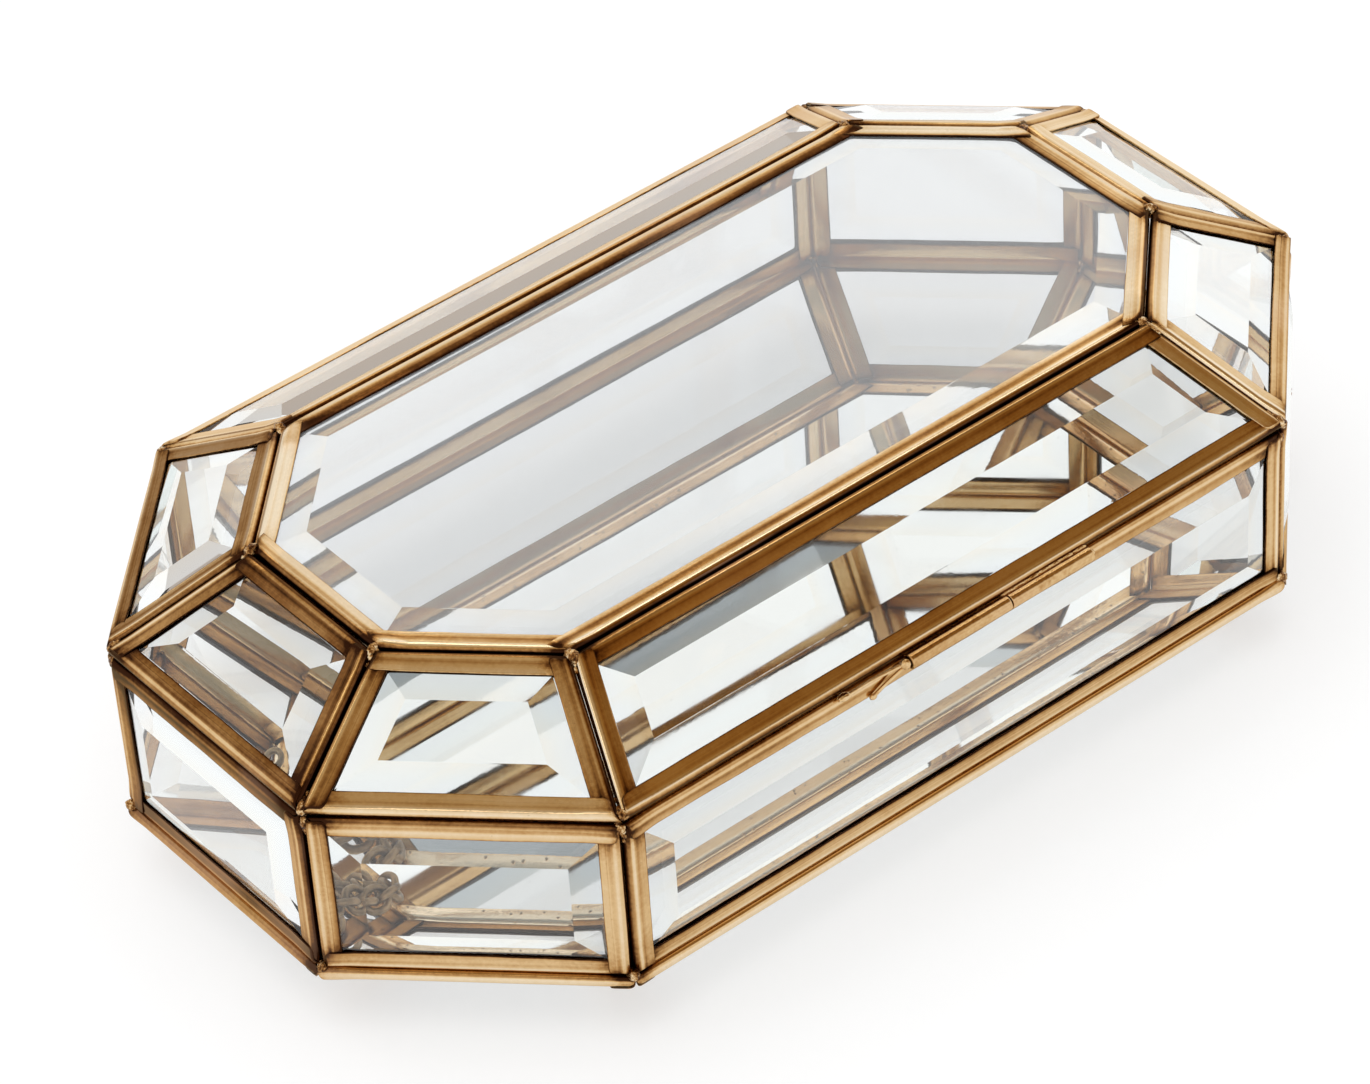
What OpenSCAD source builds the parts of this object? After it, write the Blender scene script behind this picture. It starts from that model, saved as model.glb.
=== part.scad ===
// Elongated octagonal jewelry box of bevelled glass panes, each held in a folded brass channel.
// +Z is up and the box rests on z = 0. +X runs to the right end and +Y to the hinged back.
// Every pane is modelled flat, with its outer face towards +Z, and then stood in its place.

/* [Box] */
// Length between the middles of the two end walls
box_length = 240; // [200:1:300]
// Width between the middles of the two long walls
box_width = 138; // [124:1:170]
// Length that each corner cut takes off both sides
corner_cut = 40; // [34:1:46]
// Height of the walls, from the fold of their lower channels up to the lid seam
wall_height = 35.7; // [26:0.1:70]

/* [Lid] */
// How far the lid's sloping panes reach inwards
lid_inset = 25.6; // [18:0.2:29]
// Height of the lid above the seam
lid_rise = 16; // [9:0.2:24]
// Open seam between the lid's rim and the walls' rim
seam_gap = 0.6; // [0.4:0.1:1.2]

/* [Foot] */
// How far the sloping panes under the walls reach inwards
foot_inset = 25.6; // [18:0.2:29]
// Rise of the foot's panes from the mirror floor to the fold under the walls
foot_drop = 12.2; // [8:0.2:20]
// How far that fold stands out under the walls
foot_ledge = 0.6; // [0:0.1:1.2]

/* [Brass channel] */
// Thickness of the folded channel over the pane's edge
channel_thickness = 2.6; // [2.4:0.1:3.4]
// Width of the channel from its rounded fold to its lip
channel_width = 4; // [3.4:0.1:5.5]
// Thickness of the brass sheet at the channel's lips
sheet_thickness = 0.4; // [0.3:0.05:0.6]
// Slit between the channels of two neighbouring panes
joint_gap = 0.1; // [0.05:0.05:0.3]

/* [Glass] */
// Thickness of a pane inside its bevels
glass_thickness = 3; // [2.4:0.1:4]
// Width of the polished bevel round each pane
bevel_width = 5.5; // [3:0.1:7]
// Play between a pane's edge and its channel
glass_play = 0.05; // [0.03:0.01:0.15]

/* [Solder] */
// Diameter of the solder beads on the lid's top corners and under the walls
bead_diameter = 3; // [2.6:0.1:4]
// Diameter of the smaller beads along the rims and under the foot
rim_bead_diameter = 2.6; // [2:0.1:2.8]

/* [Hinge] */
// Outer diameter of the hinge tubes
tube_diameter = 3; // [2.6:0.1:4]
// Diameter of the hinge wire
pin_diameter = 1.4; // [1:0.1:1.6]
// Radial play of the wire in the tubes
pin_play = 0.05; // [0.03:0.01:0.08]
// Clearance between the tubes and both rims
tube_clearance = 0.3; // [0.2:0.05:0.6]
// Length of the tube soldered to the wall's rim
wall_tube_length = 24; // [16:1:32]
// Length of the tube soldered to the lid's rim
lid_tube_length = 20; // [14:1:30]
// Where the two tubes meet along the back
hinge_x = -9; // [-30:1:30]
// Slit between the two tubes
tube_gap = 0.3; // [0.2:0.1:1]
// Length of the wire's tail beside the wall tube
tail_length = 15; // [8:1:24]
// Length of the tail's end that is bent back on itself
tail_return = 5; // [3:0.5:7]
// Radius of that bend, to the middle of the wire
tail_bend_r = 0.8; // [0.75:0.05:1.2]
// Thickness of the solder web under each tube
web_thickness = 1.4; // [1:0.1:1.8]
// Diameter of the flattened head of the wire
pin_head_diameter = 2.2; // [1.8:0.1:2.6]
// Thickness of that head
pin_head_thickness = 0.6; // [0.4:0.1:1]

/* [Chain] */
// Wire diameter of the lid stay chain
chain_wire = 1.2; // [0.9:0.1:1.3]
// Outer length of one link
link_length = 6.6; // [6.2:0.1:7]
// Outer width of one link
link_width = 4.9; // [4.5:0.1:5.2]
// Slack between two links
link_slack = 0.5; // [0.4:0.1:0.8]
// Largest number of links
link_count = 21; // [8:1:24]
// Radius of the two eyes, to the middle of their wire
eye_r = 1.7; // [1.5:0.1:2.2]
// How far the chain's first link hangs below the rim
eye_drop = 3; // [2.6:0.1:5]
// Diameter of the stub that the wall's eye is soldered on with
eye_stub_diameter = 1.7; // [1.5:0.1:2]
// Place of the lid's eye along the end pane
lid_eye_y = 16; // [4:1:20]

/* [Hidden] */
$fn = 48;

SIDES = ["right", "back_right", "back", "back_left", "left", "front_left", "front", "front_right"];

brass = [0.72, 0.53, 0.31];
dark_brass = [0.42, 0.33, 0.22];
solder_grey = [0.62, 0.55, 0.42];
clear_glass = [0.86, 0.92, 0.92, 0.35];
mirror_grey = [0.82, 0.84, 0.85];

fold_r = channel_thickness / 2;
slot_h = channel_thickness - 2 * sheet_thickness;
edge_h = slot_h - 2 * glass_play;
lip_in = channel_width - fold_r;
round_r = fold_r * 1.15;                    // radius of the fold, a little over half the thickness
cut = 0.5;                                  // how far cutting shapes run past what they cut
link_turn = 45;                             // roll of each link about the chain's run
eye_seat = 0.7;                             // how far the eye's wire sits inside the first link
eye_turn = 30;                              // turn of the wall's eye about the vertical
tail_gap = 0.1;                             // gap between the wire's tail and the wall's rim

// Levels of the joint lines, counted at the middle of the panes
z_floor = fold_r;
z_ledge = z_floor + foot_drop;
foot_pitch = atan2(foot_drop, foot_inset + foot_ledge);
z_wall = z_ledge + (round_r + fold_r + joint_gap - foot_ledge * sin(foot_pitch)) / cos(foot_pitch) - (round_r - fold_r);
z_seam = z_wall + wall_height;
z_wall_rim = z_seam - seam_gap / 2 - fold_r;
z_lid_rim = z_seam + seam_gap / 2 + fold_r;
z_top = z_seam + lid_rise;

// Octagon as [half length, half width, corner cut], shrunk evenly by an inset on all eight sides
corner_share = 2 - sqrt(2);
function octagon(inset) =
    [box_length / 2 - inset, box_width / 2 - inset, corner_cut - corner_share * inset];
// The eight corner points, anticlockwise; side k runs from corner k to the next one
function corners(o) = [
    [o[0], o[2] - o[1]], [o[0], o[1] - o[2]], [o[0] - o[2], o[1]], [o[2] - o[0], o[1]],
    [-o[0], o[1] - o[2]], [-o[0], o[2] - o[1]], [o[2] - o[0], -o[1]], [o[0] - o[2], -o[1]]
];
function next_corner(o, k) = corners(o)[(k + 1) % 8];
function side_middle(o, k) = (corners(o)[k] + next_corner(o, k)) / 2;
function half_side(o, k) = norm(next_corner(o, k) - corners(o)[k]) / 2;

rim = octagon(0);
top_edge = octagon(lid_inset);
floor_edge = octagon(foot_inset);
ledge = octagon(-foot_ledge);

// Pitches of the sloping panes, and the inner angles between neighbouring panes
lid_pitch = atan2(z_top - z_lid_rim, lid_inset);
corner_turn = 45;
function hip_angle(pitch) = 180 - acos(1 - pow(sin(pitch), 2) * (1 - cos(corner_turn)));
// How far a fold's centre line stays back from a joint line, so that two folds meet at the slit
function setback(angle) = (fold_r + joint_gap / 2) / sin(angle / 2);
wall_corner_back = setback(180 - corner_turn);
lid_hip_back = setback(hip_angle(lid_pitch));
foot_hip_back = setback(hip_angle(foot_pitch));
lid_top_back = setback(180 - lid_pitch);
floor_back = setback(180 - foot_pitch);

// Inward direction of edge i of an anticlockwise polygon
function inward(p, i) =
    let (d = p[(i + 1) % len(p)] - p[i])
    [-d[1], d[0]] / norm(d);
// The polygon with each edge i moved inwards by back[i]
function moved_in(p, back) = [
    for (i = [0 : len(p) - 1])
        let (
            h = (i + len(p) - 1) % len(p),
            m = inward(p, h),
            n = inward(p, i),
            u = p[i] * m + back[h],
            v = p[i] * n + back[i],
            det = m[0] * n[1] - m[1] * n[0]
        )
        [(u * n[1] - v * m[1]) / det, (v * m[0] - u * n[0]) / det]
];
function evenly(p, back) = moved_in(p, [for (q = p) back]);

// Outline of a four-sided pane: half its lower and upper widths, and its height
function pane_outline(low, high, tall) = [[-low, 0], [low, 0], [high, tall], [-high, tall]];

// Fold lines of each kind of pane
top_folds = evenly(corners(top_edge), lid_top_back);
floor_folds = evenly(corners(floor_edge), floor_back);
lid_slope = norm([lid_inset, z_top - z_lid_rim]);
foot_slope = norm([foot_inset + foot_ledge, foot_drop]);
function lid_folds(k) = moved_in(
    pane_outline(half_side(rim, k), half_side(top_edge, k), lid_slope),
    [0, lid_hip_back, lid_top_back, lid_hip_back]);
function wall_folds(k) = moved_in(
    pane_outline(half_side(rim, k), half_side(rim, k), z_wall_rim - z_wall),
    [0, wall_corner_back, 0, wall_corner_back]);
function foot_folds(k) = moved_in(
    pane_outline(half_side(floor_edge, k), half_side(ledge, k), foot_slope),
    [floor_back, foot_hip_back, 0, foot_hip_back]);

// A plate of the given outline, centred on the pane's middle
module plate(outline, thick) {
    translate([0, 0, -thick / 2])
        linear_extrude(thick)
            polygon(outline);
}

// Carries a profile along every edge of an outline, past both ends of the edge.
// The profile is seen along the edge, with the edge at its origin and the pane to the right.
module along_edges(outline) {
    reach = 3 * max([for (p = outline) norm(p)]);
    for (i = [0 : len(outline) - 1]) {
        run = outline[(i + 1) % len(outline)] - outline[i];
        translate(outline[i])
            rotate([90, 0, atan2(run[1], run[0]) + 90])
                translate([0, 0, -reach])
                    linear_extrude(2 * reach)
                        children();
    }
}

// What lies outside the rounded fold
module fold_waste() {
    difference() {
        translate([-fold_r - cut, -fold_r - cut])
            square([fold_r + cut, 2 * (fold_r + cut)]);
        translate([round_r - fold_r, 0])
            circle(round_r);
    }
}

// Folded channel all round a pane whose fold lines are given
module channel_frame(folds) {
    color(brass)
        difference() {
            plate(evenly(folds, -fold_r), channel_thickness);
            plate(evenly(folds, lip_in), channel_thickness + 2 * cut);
            plate(folds, slot_h);
            along_edges(folds) fold_waste();
        }
}

// Pane with a thin edge in the channel, a sloping bevel beyond the lip and a full middle
module bevelled_pane(folds) {
    step = lip_in + glass_play;
    color(clear_glass)
        union() {
            plate(evenly(folds, glass_play), edge_h);
            difference() {
                translate([0, 0, -edge_h / 2])
                    linear_extrude(glass_thickness)
                        polygon(evenly(folds, step));
                along_edges(folds) bevel_waste(step);
            }
        }
}

// What the polishing wheel takes off one edge
module bevel_waste(step) {
    rise = glass_thickness - edge_h;
    low = edge_h / 2;
    polygon([
        [step - cut, low - rise * cut / bevel_width],
        [step + bevel_width + cut, low + rise * (1 + cut / bevel_width)],
        [step - cut, low + rise * (1 + cut / bevel_width)]
    ]);
}

// Stands a flat pane on side k of an octagon; lean is its tilt inwards from upright
module on_side(k, o, z, lean) {
    translate([0, 0, z])
        translate(side_middle(o, k))
            rotate([90, 0, 90 + corner_turn * k])
                rotate([-lean, 0, 0])
                    children();
}

module lid_glass(k) {
    on_side(k, rim, z_lid_rim, 90 - lid_pitch) bevelled_pane(lid_folds(k));
}

module lid_frame(k) {
    on_side(k, rim, z_lid_rim, 90 - lid_pitch) channel_frame(lid_folds(k));
}

module wall_glass(k) {
    on_side(k, rim, z_wall, 0) bevelled_pane(wall_folds(k));
}

module wall_frame(k) {
    on_side(k, rim, z_wall, 0) channel_frame(wall_folds(k));
}

module foot_glass(k) {
    on_side(k, floor_edge, z_floor, foot_pitch - 90) bevelled_pane(foot_folds(k));
}

module foot_frame(k) {
    on_side(k, floor_edge, z_floor, foot_pitch - 90) channel_frame(foot_folds(k));
}

module lid_top_glass() {
    translate([0, 0, z_top]) bevelled_pane(top_folds);
}

module lid_top_frame() {
    translate([0, 0, z_top]) channel_frame(top_folds);
}

// Plain silvered pane that is the floor of the box
module base_mirror() {
    color(mirror_grey)
        translate([0, 0, z_floor]) plate(evenly(floor_folds, glass_play), edge_h);
}

module base_mirror_frame() {
    translate([0, 0, z_floor]) channel_frame(floor_folds);
}

// Solder beads on the eight corners of an octagon
module beads(o, z, diameter) {
    color(solder_grey)
        for (p = corners(o))
            translate([p[0], p[1], z])
                sphere(d = diameter);
}

module lid_solder() {
    beads(top_edge, z_top, bead_diameter);
    beads(rim, z_lid_rim, rim_bead_diameter);
}

module base_solder() {
    beads(rim, z_wall_rim, rim_bead_diameter);
    beads(octagon(-foot_ledge / 2), (z_ledge + z_wall) / 2, bead_diameter);
    beads(floor_edge, z_floor, rim_bead_diameter - joint_gap);
}

// Hinge line, clear of both rims by the same distance
tube_r = tube_diameter / 2;
rim_offset = z_lid_rim - z_seam;
hinge_out = sqrt(pow(fold_r + tube_r + tube_clearance, 2) - pow(rim_offset, 2));
hinge_y = box_width / 2 + hinge_out;

// A tube on the hinge line from x0 to x1, with a solder web to the rim at rim_side (1 lid, -1 wall).
// Its section is drawn looking along X, with the hinge line at the origin.
module hinge_tube(x0, x1, rim_side) {
    reach = norm([hinge_out, rim_offset]);
    color(brass)
        translate([x0, hinge_y, z_seam])
            rotate([90, 0, 90])
                linear_extrude(x1 - x0)
                    difference() {
                        union() {
                            circle(tube_r);
                            rotate(-rim_side * atan2(rim_offset, hinge_out))
                                translate([-reach, -web_thickness / 2])
                                    square([reach, web_thickness]);
                        }
                        circle(pin_diameter / 2 + pin_play);
                        translate([-hinge_out, rim_side * rim_offset])
                            rotate(rim_side > 0 ? 180 - lid_pitch : -90)
                                translate([round_r - fold_r, 0])
                                    circle(round_r + glass_play);
                    }
}

wall_tube_end = hinge_x + wall_tube_length;
lid_tube_end = hinge_x - tube_gap - lid_tube_length;

module wall_hinge_tube() {
    hinge_tube(hinge_x, wall_tube_end, -1);
}

module lid_hinge_tube() {
    hinge_tube(lid_tube_end, hinge_x - tube_gap, 1);
}

// Wire through both tubes; its tail runs on beside the wall tube and is bent back under itself,
// so that the bent-back run lies against the wall's rim
module hinge_pin() {
    head_x = lid_tube_end - tube_gap;
    end_x = wall_tube_end + tail_length;
    tail_y = box_width / 2 + fold_r + pin_diameter / 2 + tail_gap;
    lean = asin(min(1, (hinge_y - tail_y) / (2 * tail_bend_r)));
    color(dark_brass)
        translate([0, hinge_y, z_seam])
            rotate([-lean, 0, 0]) {
                translate([head_x, 0, 0])
                    rotate([0, 90, 0])
                        cylinder(h = end_x - head_x, d = pin_diameter);
                translate([head_x, 0, 0])
                    rotate([0, -90, 0])
                        cylinder(h = pin_head_thickness, d = pin_head_diameter);
                translate([end_x, 0, -tail_bend_r])
                    rotate([90, 0, 0])
                        rotate([0, 0, -90])
                            rotate_extrude(angle = 180)
                                translate([tail_bend_r, 0])
                                    circle(d = pin_diameter);
                translate([end_x - tail_return, 0, -2 * tail_bend_r])
                    rotate([0, 90, 0])
                        cylinder(h = tail_return, d = pin_diameter);
            }
}

// One oval link lying in the XY plane, long along X
module chain_link() {
    r = chain_wire / 2;
    bend = link_width / 2 - r;
    straight = link_length - link_width;
    for (side = [0, 180])
        rotate([0, 0, side]) {
            translate([straight / 2, 0, 0])
                rotate([0, 0, -90])
                    rotate_extrude(angle = 180)
                        translate([bend, 0])
                            circle(r);
            translate([-straight / 2, bend, 0])
                rotate([0, 90, 0])
                    cylinder(h = straight, r = r);
        }
}

// The foot's inner slopes at a point near the chain's corner, at the middle of the panes
rim_corner = corners(rim)[1];
ledge_corner = corners(ledge)[1];
function foot_height(p) =
    max(
        z_floor,
        z_ledge - tan(foot_pitch) * (ledge_corner[0] - p[0]),
        z_ledge - tan(foot_pitch) * (ledge_corner[0] + ledge_corner[1] - p[0] - p[1]) / sqrt(2)
    );

// Route of the chain: it hangs from the eye on the wall's rim and lies in one loose loop in the corner.
// Each row is the offset from the walls' corner and the height over the foot's slopes.
eye_offset = [-4.2, -6];
route_offsets = [
    [-5.6, -7.2, 13.6], [-8.8, -8, 10.4], [-14.2, -6.6, 10.4], [-20.5, -7.4, 10.8],
    [-24.4, -12.5, 8.9], [-21.6, -18.2, 5.8], [-14.9, -19.6, 4.4], [-10.7, -14.4, 4.4],
    [-12.8, -7.8, 4.4], [-19.2, -6, 4.5]
];
chain_top = concat(rim_corner + eye_offset, z_wall_rim - eye_drop);
function route_point(row) =
    let (p = rim_corner + [row[0], row[1]])
    concat(p, foot_height(p) + row[2]);
route = concat([chain_top], [for (row = route_offsets) route_point(row)]);

// Smooth curve through all the points of a route, in short steps
curve_steps = 30;
function curve_point(a, b, c, d, t) =
    (2 * b + (c - a) * t + (2 * a - 5 * b + 4 * c - d) * pow(t, 2) + (3 * b - a - 3 * c + d) * pow(t, 3)) / 2;
function smooth(p) =
    let (
        last = len(p) - 1,
        q = concat([2 * p[0] - p[1]], p, [2 * p[last] - p[last - 1]])
    )
    concat(
        [
            for (i = [1 : last], j = [0 : curve_steps - 1])
                curve_point(q[i - 1], q[i], q[i + 1], q[i + 2], j / curve_steps)
        ],
        [p[last]]
    );
// Points one pitch apart along a curve, from the walk so far
function stations(curve, pitch, i = 0, walk = []) =
    i == len(curve) ? walk
    : len(walk) == 0 ? stations(curve, pitch, i + 1, [curve[i]])
    : let (
        last = walk[len(walk) - 1],
        away = curve[i] - last
    )
    norm(away) < pitch ? stations(curve, pitch, i + 1, walk)
    : stations(curve, pitch, i + 1, concat(walk, [last + away * pitch / norm(away)]));

// Each link is turned a quarter against the one before it and hangs in it with some slack
module stay_chain() {
    joints = stations(smooth(route), link_length - 2 * chain_wire - link_slack);
    count = min(link_count, len(joints) - 1);
    color(dark_brass)
        for (i = [0 : count - 1]) {
            run = joints[i + 1] - joints[i];
            translate((joints[i] + joints[i + 1]) / 2)
                rotate([0, -atan2(run[2], norm([run[0], run[1]])), atan2(run[1], run[0])])
                    rotate([i % 2 == 0 ? link_turn : -link_turn, 0, 0])
                        chain_link();
        }
}

// Ring of chain wire with the given radius to the middle of the wire, in the XY plane
module wire_ring() {
    rotate_extrude()
        translate([eye_r, 0])
            circle(chain_wire / 2);
}

// Eye that holds the chain: a ring across the corner, on a short stub to the wall's channel
module wall_chain_eye() {
    color(dark_brass)
        translate([0, 0, eye_r - eye_seat])
            translate(chain_top) {
                rotate([0, 0, -eye_turn])
                    rotate([90, 0, 0])
                        wire_ring();
                translate([0, 0, eye_r])
                    rotate([0, 90, 0])
                        cylinder(h = -eye_offset[0] - fold_r - glass_play, d = eye_stub_diameter);
            }
}

// Eye on the lid for the chain's other end: a ring flat under the lip of the end pane's channel
module lid_chain_eye() {
    color(dark_brass)
        on_side(0, rim, z_lid_rim, 90 - lid_pitch)
            translate([lid_eye_y, lip_in + eye_r / 2, -fold_r - chain_wire / 2 - glass_play])
                wire_ring();
}

lid_top_glass();
lid_top_frame();
lid_glass(0);  // lid_right_glass
lid_frame(0);  // lid_right_frame
lid_glass(1);  // lid_back_right_glass
lid_frame(1);  // lid_back_right_frame
lid_glass(2);  // lid_back_glass
lid_frame(2);  // lid_back_frame
lid_glass(3);  // lid_back_left_glass
lid_frame(3);  // lid_back_left_frame
lid_glass(4);  // lid_left_glass
lid_frame(4);  // lid_left_frame
lid_glass(5);  // lid_front_left_glass
lid_frame(5);  // lid_front_left_frame
lid_glass(6);  // lid_front_glass
lid_frame(6);  // lid_front_frame
lid_glass(7);  // lid_front_right_glass
lid_frame(7);  // lid_front_right_frame
lid_solder();
lid_hinge_tube();
wall_glass(0);  // wall_right_glass
wall_frame(0);  // wall_right_frame
wall_glass(1);  // wall_back_right_glass
wall_frame(1);  // wall_back_right_frame
wall_glass(2);  // wall_back_glass
wall_frame(2);  // wall_back_frame
wall_glass(3);  // wall_back_left_glass
wall_frame(3);  // wall_back_left_frame
wall_glass(4);  // wall_left_glass
wall_frame(4);  // wall_left_frame
wall_glass(5);  // wall_front_left_glass
wall_frame(5);  // wall_front_left_frame
wall_glass(6);  // wall_front_glass
wall_frame(6);  // wall_front_frame
wall_glass(7);  // wall_front_right_glass
wall_frame(7);  // wall_front_right_frame
foot_glass(0);  // foot_right_glass
foot_frame(0);  // foot_right_frame
foot_glass(1);  // foot_back_right_glass
foot_frame(1);  // foot_back_right_frame
foot_glass(2);  // foot_back_glass
foot_frame(2);  // foot_back_frame
foot_glass(3);  // foot_back_left_glass
foot_frame(3);  // foot_back_left_frame
foot_glass(4);  // foot_left_glass
foot_frame(4);  // foot_left_frame
foot_glass(5);  // foot_front_left_glass
foot_frame(5);  // foot_front_left_frame
foot_glass(6);  // foot_front_glass
foot_frame(6);  // foot_front_frame
foot_glass(7);  // foot_front_right_glass
foot_frame(7);  // foot_front_right_frame
base_mirror();
base_mirror_frame();
base_solder();
wall_hinge_tube();
hinge_pin();
wall_chain_eye();
lid_chain_eye();
stay_chain();
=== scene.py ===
import math

import bmesh
import bpy
import numpy as np
from bpy.props import FloatProperty, FloatVectorProperty, IntProperty, PointerProperty
from mathutils import Matrix


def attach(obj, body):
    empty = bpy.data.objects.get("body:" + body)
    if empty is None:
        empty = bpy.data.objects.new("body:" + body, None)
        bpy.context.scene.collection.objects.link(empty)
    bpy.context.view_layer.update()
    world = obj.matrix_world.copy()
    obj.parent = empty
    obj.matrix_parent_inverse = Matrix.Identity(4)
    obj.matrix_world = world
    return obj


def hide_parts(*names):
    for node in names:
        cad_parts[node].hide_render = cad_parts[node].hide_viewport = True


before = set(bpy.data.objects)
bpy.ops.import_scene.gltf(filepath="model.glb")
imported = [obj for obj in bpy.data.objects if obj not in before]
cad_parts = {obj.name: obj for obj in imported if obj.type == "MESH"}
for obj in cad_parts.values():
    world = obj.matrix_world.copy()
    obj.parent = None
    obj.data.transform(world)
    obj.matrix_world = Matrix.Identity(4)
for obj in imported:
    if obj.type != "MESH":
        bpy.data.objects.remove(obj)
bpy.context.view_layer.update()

bl_info = {
    "name": "Bevelled Glass Jewelry Box",
    "version": (1, 0, 0),
    "blender": (4, 5, 0),
    "location": "View3D > Sidebar > Jewelry Box",
    "description": "Folded brass channels, bevelled panes, solder, hinge and stay chain of a glass box",
    "category": "Add Mesh",
}

MM = 0.001
SIDES = ("right", "back_right", "back", "back_left", "left", "front_left", "front", "front_right")

# Section of a strip. Points over a flange, as shares of its width from the fold line to the lip, and round the fold.
FLAT_SHARES = np.array([1, 0.965, 0.90, 0.74, 0.58, 0.52, 0.46, 0.26, 0.10])
CREASE_POINT, BEND_POINTS, SQUARENESS = 5, 15, 0.86
LIP_TURN_IN = 0.08 * MM
# Radius of the solid model's fold over half the channel's thickness.
SOLID_BULGE = 1.15
# Grime and painted shade in the fold, from a share of its depth on, how much of it open folds keep, and grime with
# painted shade at the lip's first two points.
FOLD_DIRT_AND_SHADE, DARK_FROM, OPEN_FOLD_SHARE, LIP_DIRT_AND_SHADE = 0.5, 0.80, 0.1, (0.7, 0.35)
# Strength and reach of the dark marks at a strip's ends, and the length of its start that lies under its neighbour.
END_GRIME, START_GRIME, END_SCORCH, START_SCORCH = (0.30, 0.9 * MM), (0.45, 1.6 * MM), (0.20, 5 * MM), (0.20, 6 * MM)
HIDDEN_START = 2 * MM
# Cutting of a strip's ends, where a pair of numbers is the range of a random draw: the rounding of the lip's corner,
LIP_CORNER = (0.5 * MM, 1.2 * MM)
# the place of a pointed end's tip across the flange, its slope, and the corner's angle from which ends are pointed,
POINT_MIDDLE, POINT_SLOPE, POINTED_FROM = 0.8 * MM, 0.75, math.radians(125)
# how far the end's flanges reach over the next strip and its fold under it, and how far both are cut back at the start.
LAP_REACH, FOLD_OVERLAP = (0.05 * MM, 0.5 * MM), 0.1 * MM
START_SETBACK, FOLD_SETBACK = 0.45 * MM, 0.25 * MM
# Rows of points at each end, the millimetres that they take up, and the millimetres between the rows in the middle.
END_ROWS, END_LENGTH, MIDDLE_STEP = 11, 6, 3.2
# Length and spread of the lifted end, length and depth of the pressed start.
LAP_RAMP, LAP_SPREAD = (4.5 * MM, 7.5 * MM), (0.7, 1.2)
DIP_LENGTH, DIP_DEPTH = 4 * MM, 0.09 * MM
# How the tone varies from strip to strip, how much darker the painted shade along a crease is, and how much paler the
# painted highlight on a fold's shoulder is.
STRIP_SPREAD, CREASE_DARKENS, SHOULDER_HIGHLIGHT = (-0.06, 0.06), (-0.3, 0.35), (0.25, 0.6)
# Waves along a strip in radians per metre, the heights of those that ripple and sway it, and their phases.
WAVES, WAVE_SPREAD, PHASES = np.array([90, 210, 470, 800]), (0.8, 1.3), 6.28
RIPPLE, SWAY = (1, 0.6, 0.3, 0.15), (1, 0.5, 0.3)
SWAY_SHARE, SWAY_FROM = 1.1, 0.5 * MM
# Leaning of the flanges as a share of the sag, and how much more of it a fold that is pressed in takes.
LEAN_RANGE, FOLD_LEAN_SHARE = (-0.35, 0.8), 1.6
# Tone across each strip in hundredths, at its lip, middle, fold and far side of the fold: -100 is black-brown, 0
# gold and 100 cream. The values hold tarnish and painted light: how bright or dark each part's reflection is, its
# highlights and its shade. A side pane's strips are its low, right, high and left one, and an octagon's are those of
# SIDES.
PLAIN_TONE = (-15, 0, 15, -10)
TONES = {
    "lid_top": (
        (60, 60, -40, -48), (70, -35, 100, -37), (90, -60, 85, -78), (60, 60, -28, -95),
        (-60, 0, 35, 50), (-60, 90, 60, 50), (-90, -60, 50, 50), (40, 80, 80, 50)),
    "lid_right": ((-44, -33, -35, -36), (-50, -50, -50, -60), (-45, -42, -60, -70), (-20, -20, 0, -78)),
    "wall_right": ((-57, -73, -40, 0), (-15, -8, -33, -68), (-45, -62, -78, -74), (-80, -36, -26, -15)),
    "lid_back_right": ((10, 10, 15, 60), (-8, -8, -45, -80), (50, 10, -25, -75), (-55, -2, -10, -36)),
    "wall_back_right": ((-30, -5, -5, 0), (0, 0, 5, 0), (-10, 50, -60, -46), (-60, 3, -2, -22)),
    "lid_back": ((-10, 15, 25, -50), (84, 84, 0, -45), (10, -10, -15, -56), (0, -5, -5, 100)),
    "wall_back": ((-55, 0, 5, 0), (0, 5, 0, -20), (-15, -22, -32, -20), (0, 0, -5, -42)),
    "lid_back_left": ((20, 10, -5, -30), (-25, 0, -15, 40), (80, 70, -15, -30), (30, 30, 60, 90)),
    "lid_left": ((90, 90, 90, 90), (80, 70, 30, 20), (80, 80, 60, 30)),
    "lid_front": ((60, 60, 60, 30), (30, 30, 30, 10), (10, 30, 40, -40), (40, 40, 40, 20)),
    "lid_front_right": ((-10, -5, -10, -30), (20, 15, 5, -30), PLAIN_TONE, (10, 10, 10, -20)),
    "base_mirror": (PLAIN_TONE, (60, 90, 110, 110), (10, 10, 20, 20)),
    "foot_back": (PLAIN_TONE, PLAIN_TONE, (20, 20, 40, 50)),
    "foot_back_right": (PLAIN_TONE, PLAIN_TONE, (0, 10, 30, 50)),
}
# Tone of the inner faces of these channels: darker round the right end, a little paler at the front; the others keep 0.
INNER_TONES = {
    "foot_front_right": -0.45, "foot_right": -0.40, "wall_front_right": -0.35, "foot_back_right": -0.30,
    "wall_front": 0.10, "foot_front": 0.10,
}
# How far the lip (positive) or the fold (negative) of the top pane's flanges is pressed in, as a share of the sag.
TOP_LEANS = (0.2, -0.4, -0.5, 0.3, 0.3, None, 0.9, 0.1)
# Heights over a pane's own plane where its bevels begin and end, and height of the mirror's face over the floor.
BEVEL_START, BEVEL_END = (0.84 * MM, 0.88 * MM), (2.12 * MM, 2.14 * MM)
MIRROR_FACE = (1.9 * MM, 2.0 * MM)
WHITE, BLACK = (1.0, 1.0, 1.0), (0.0, 0.0, 0.0)

# -------- sizes and finishes

def length_of(name, description, default):
    """A length that a user may change, in metres."""
    return FloatProperty(name=name, description=description, default=default, unit="LENGTH")


def colour_of(name, description, default):
    """A colour that a user may change."""
    return FloatVectorProperty(name=name, description=description, default=default, subtype="COLOR", size=3)


def amount_of(name, description, default):
    """A plain number that a user may change."""
    return FloatProperty(name=name, description=description, default=default)


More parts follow.
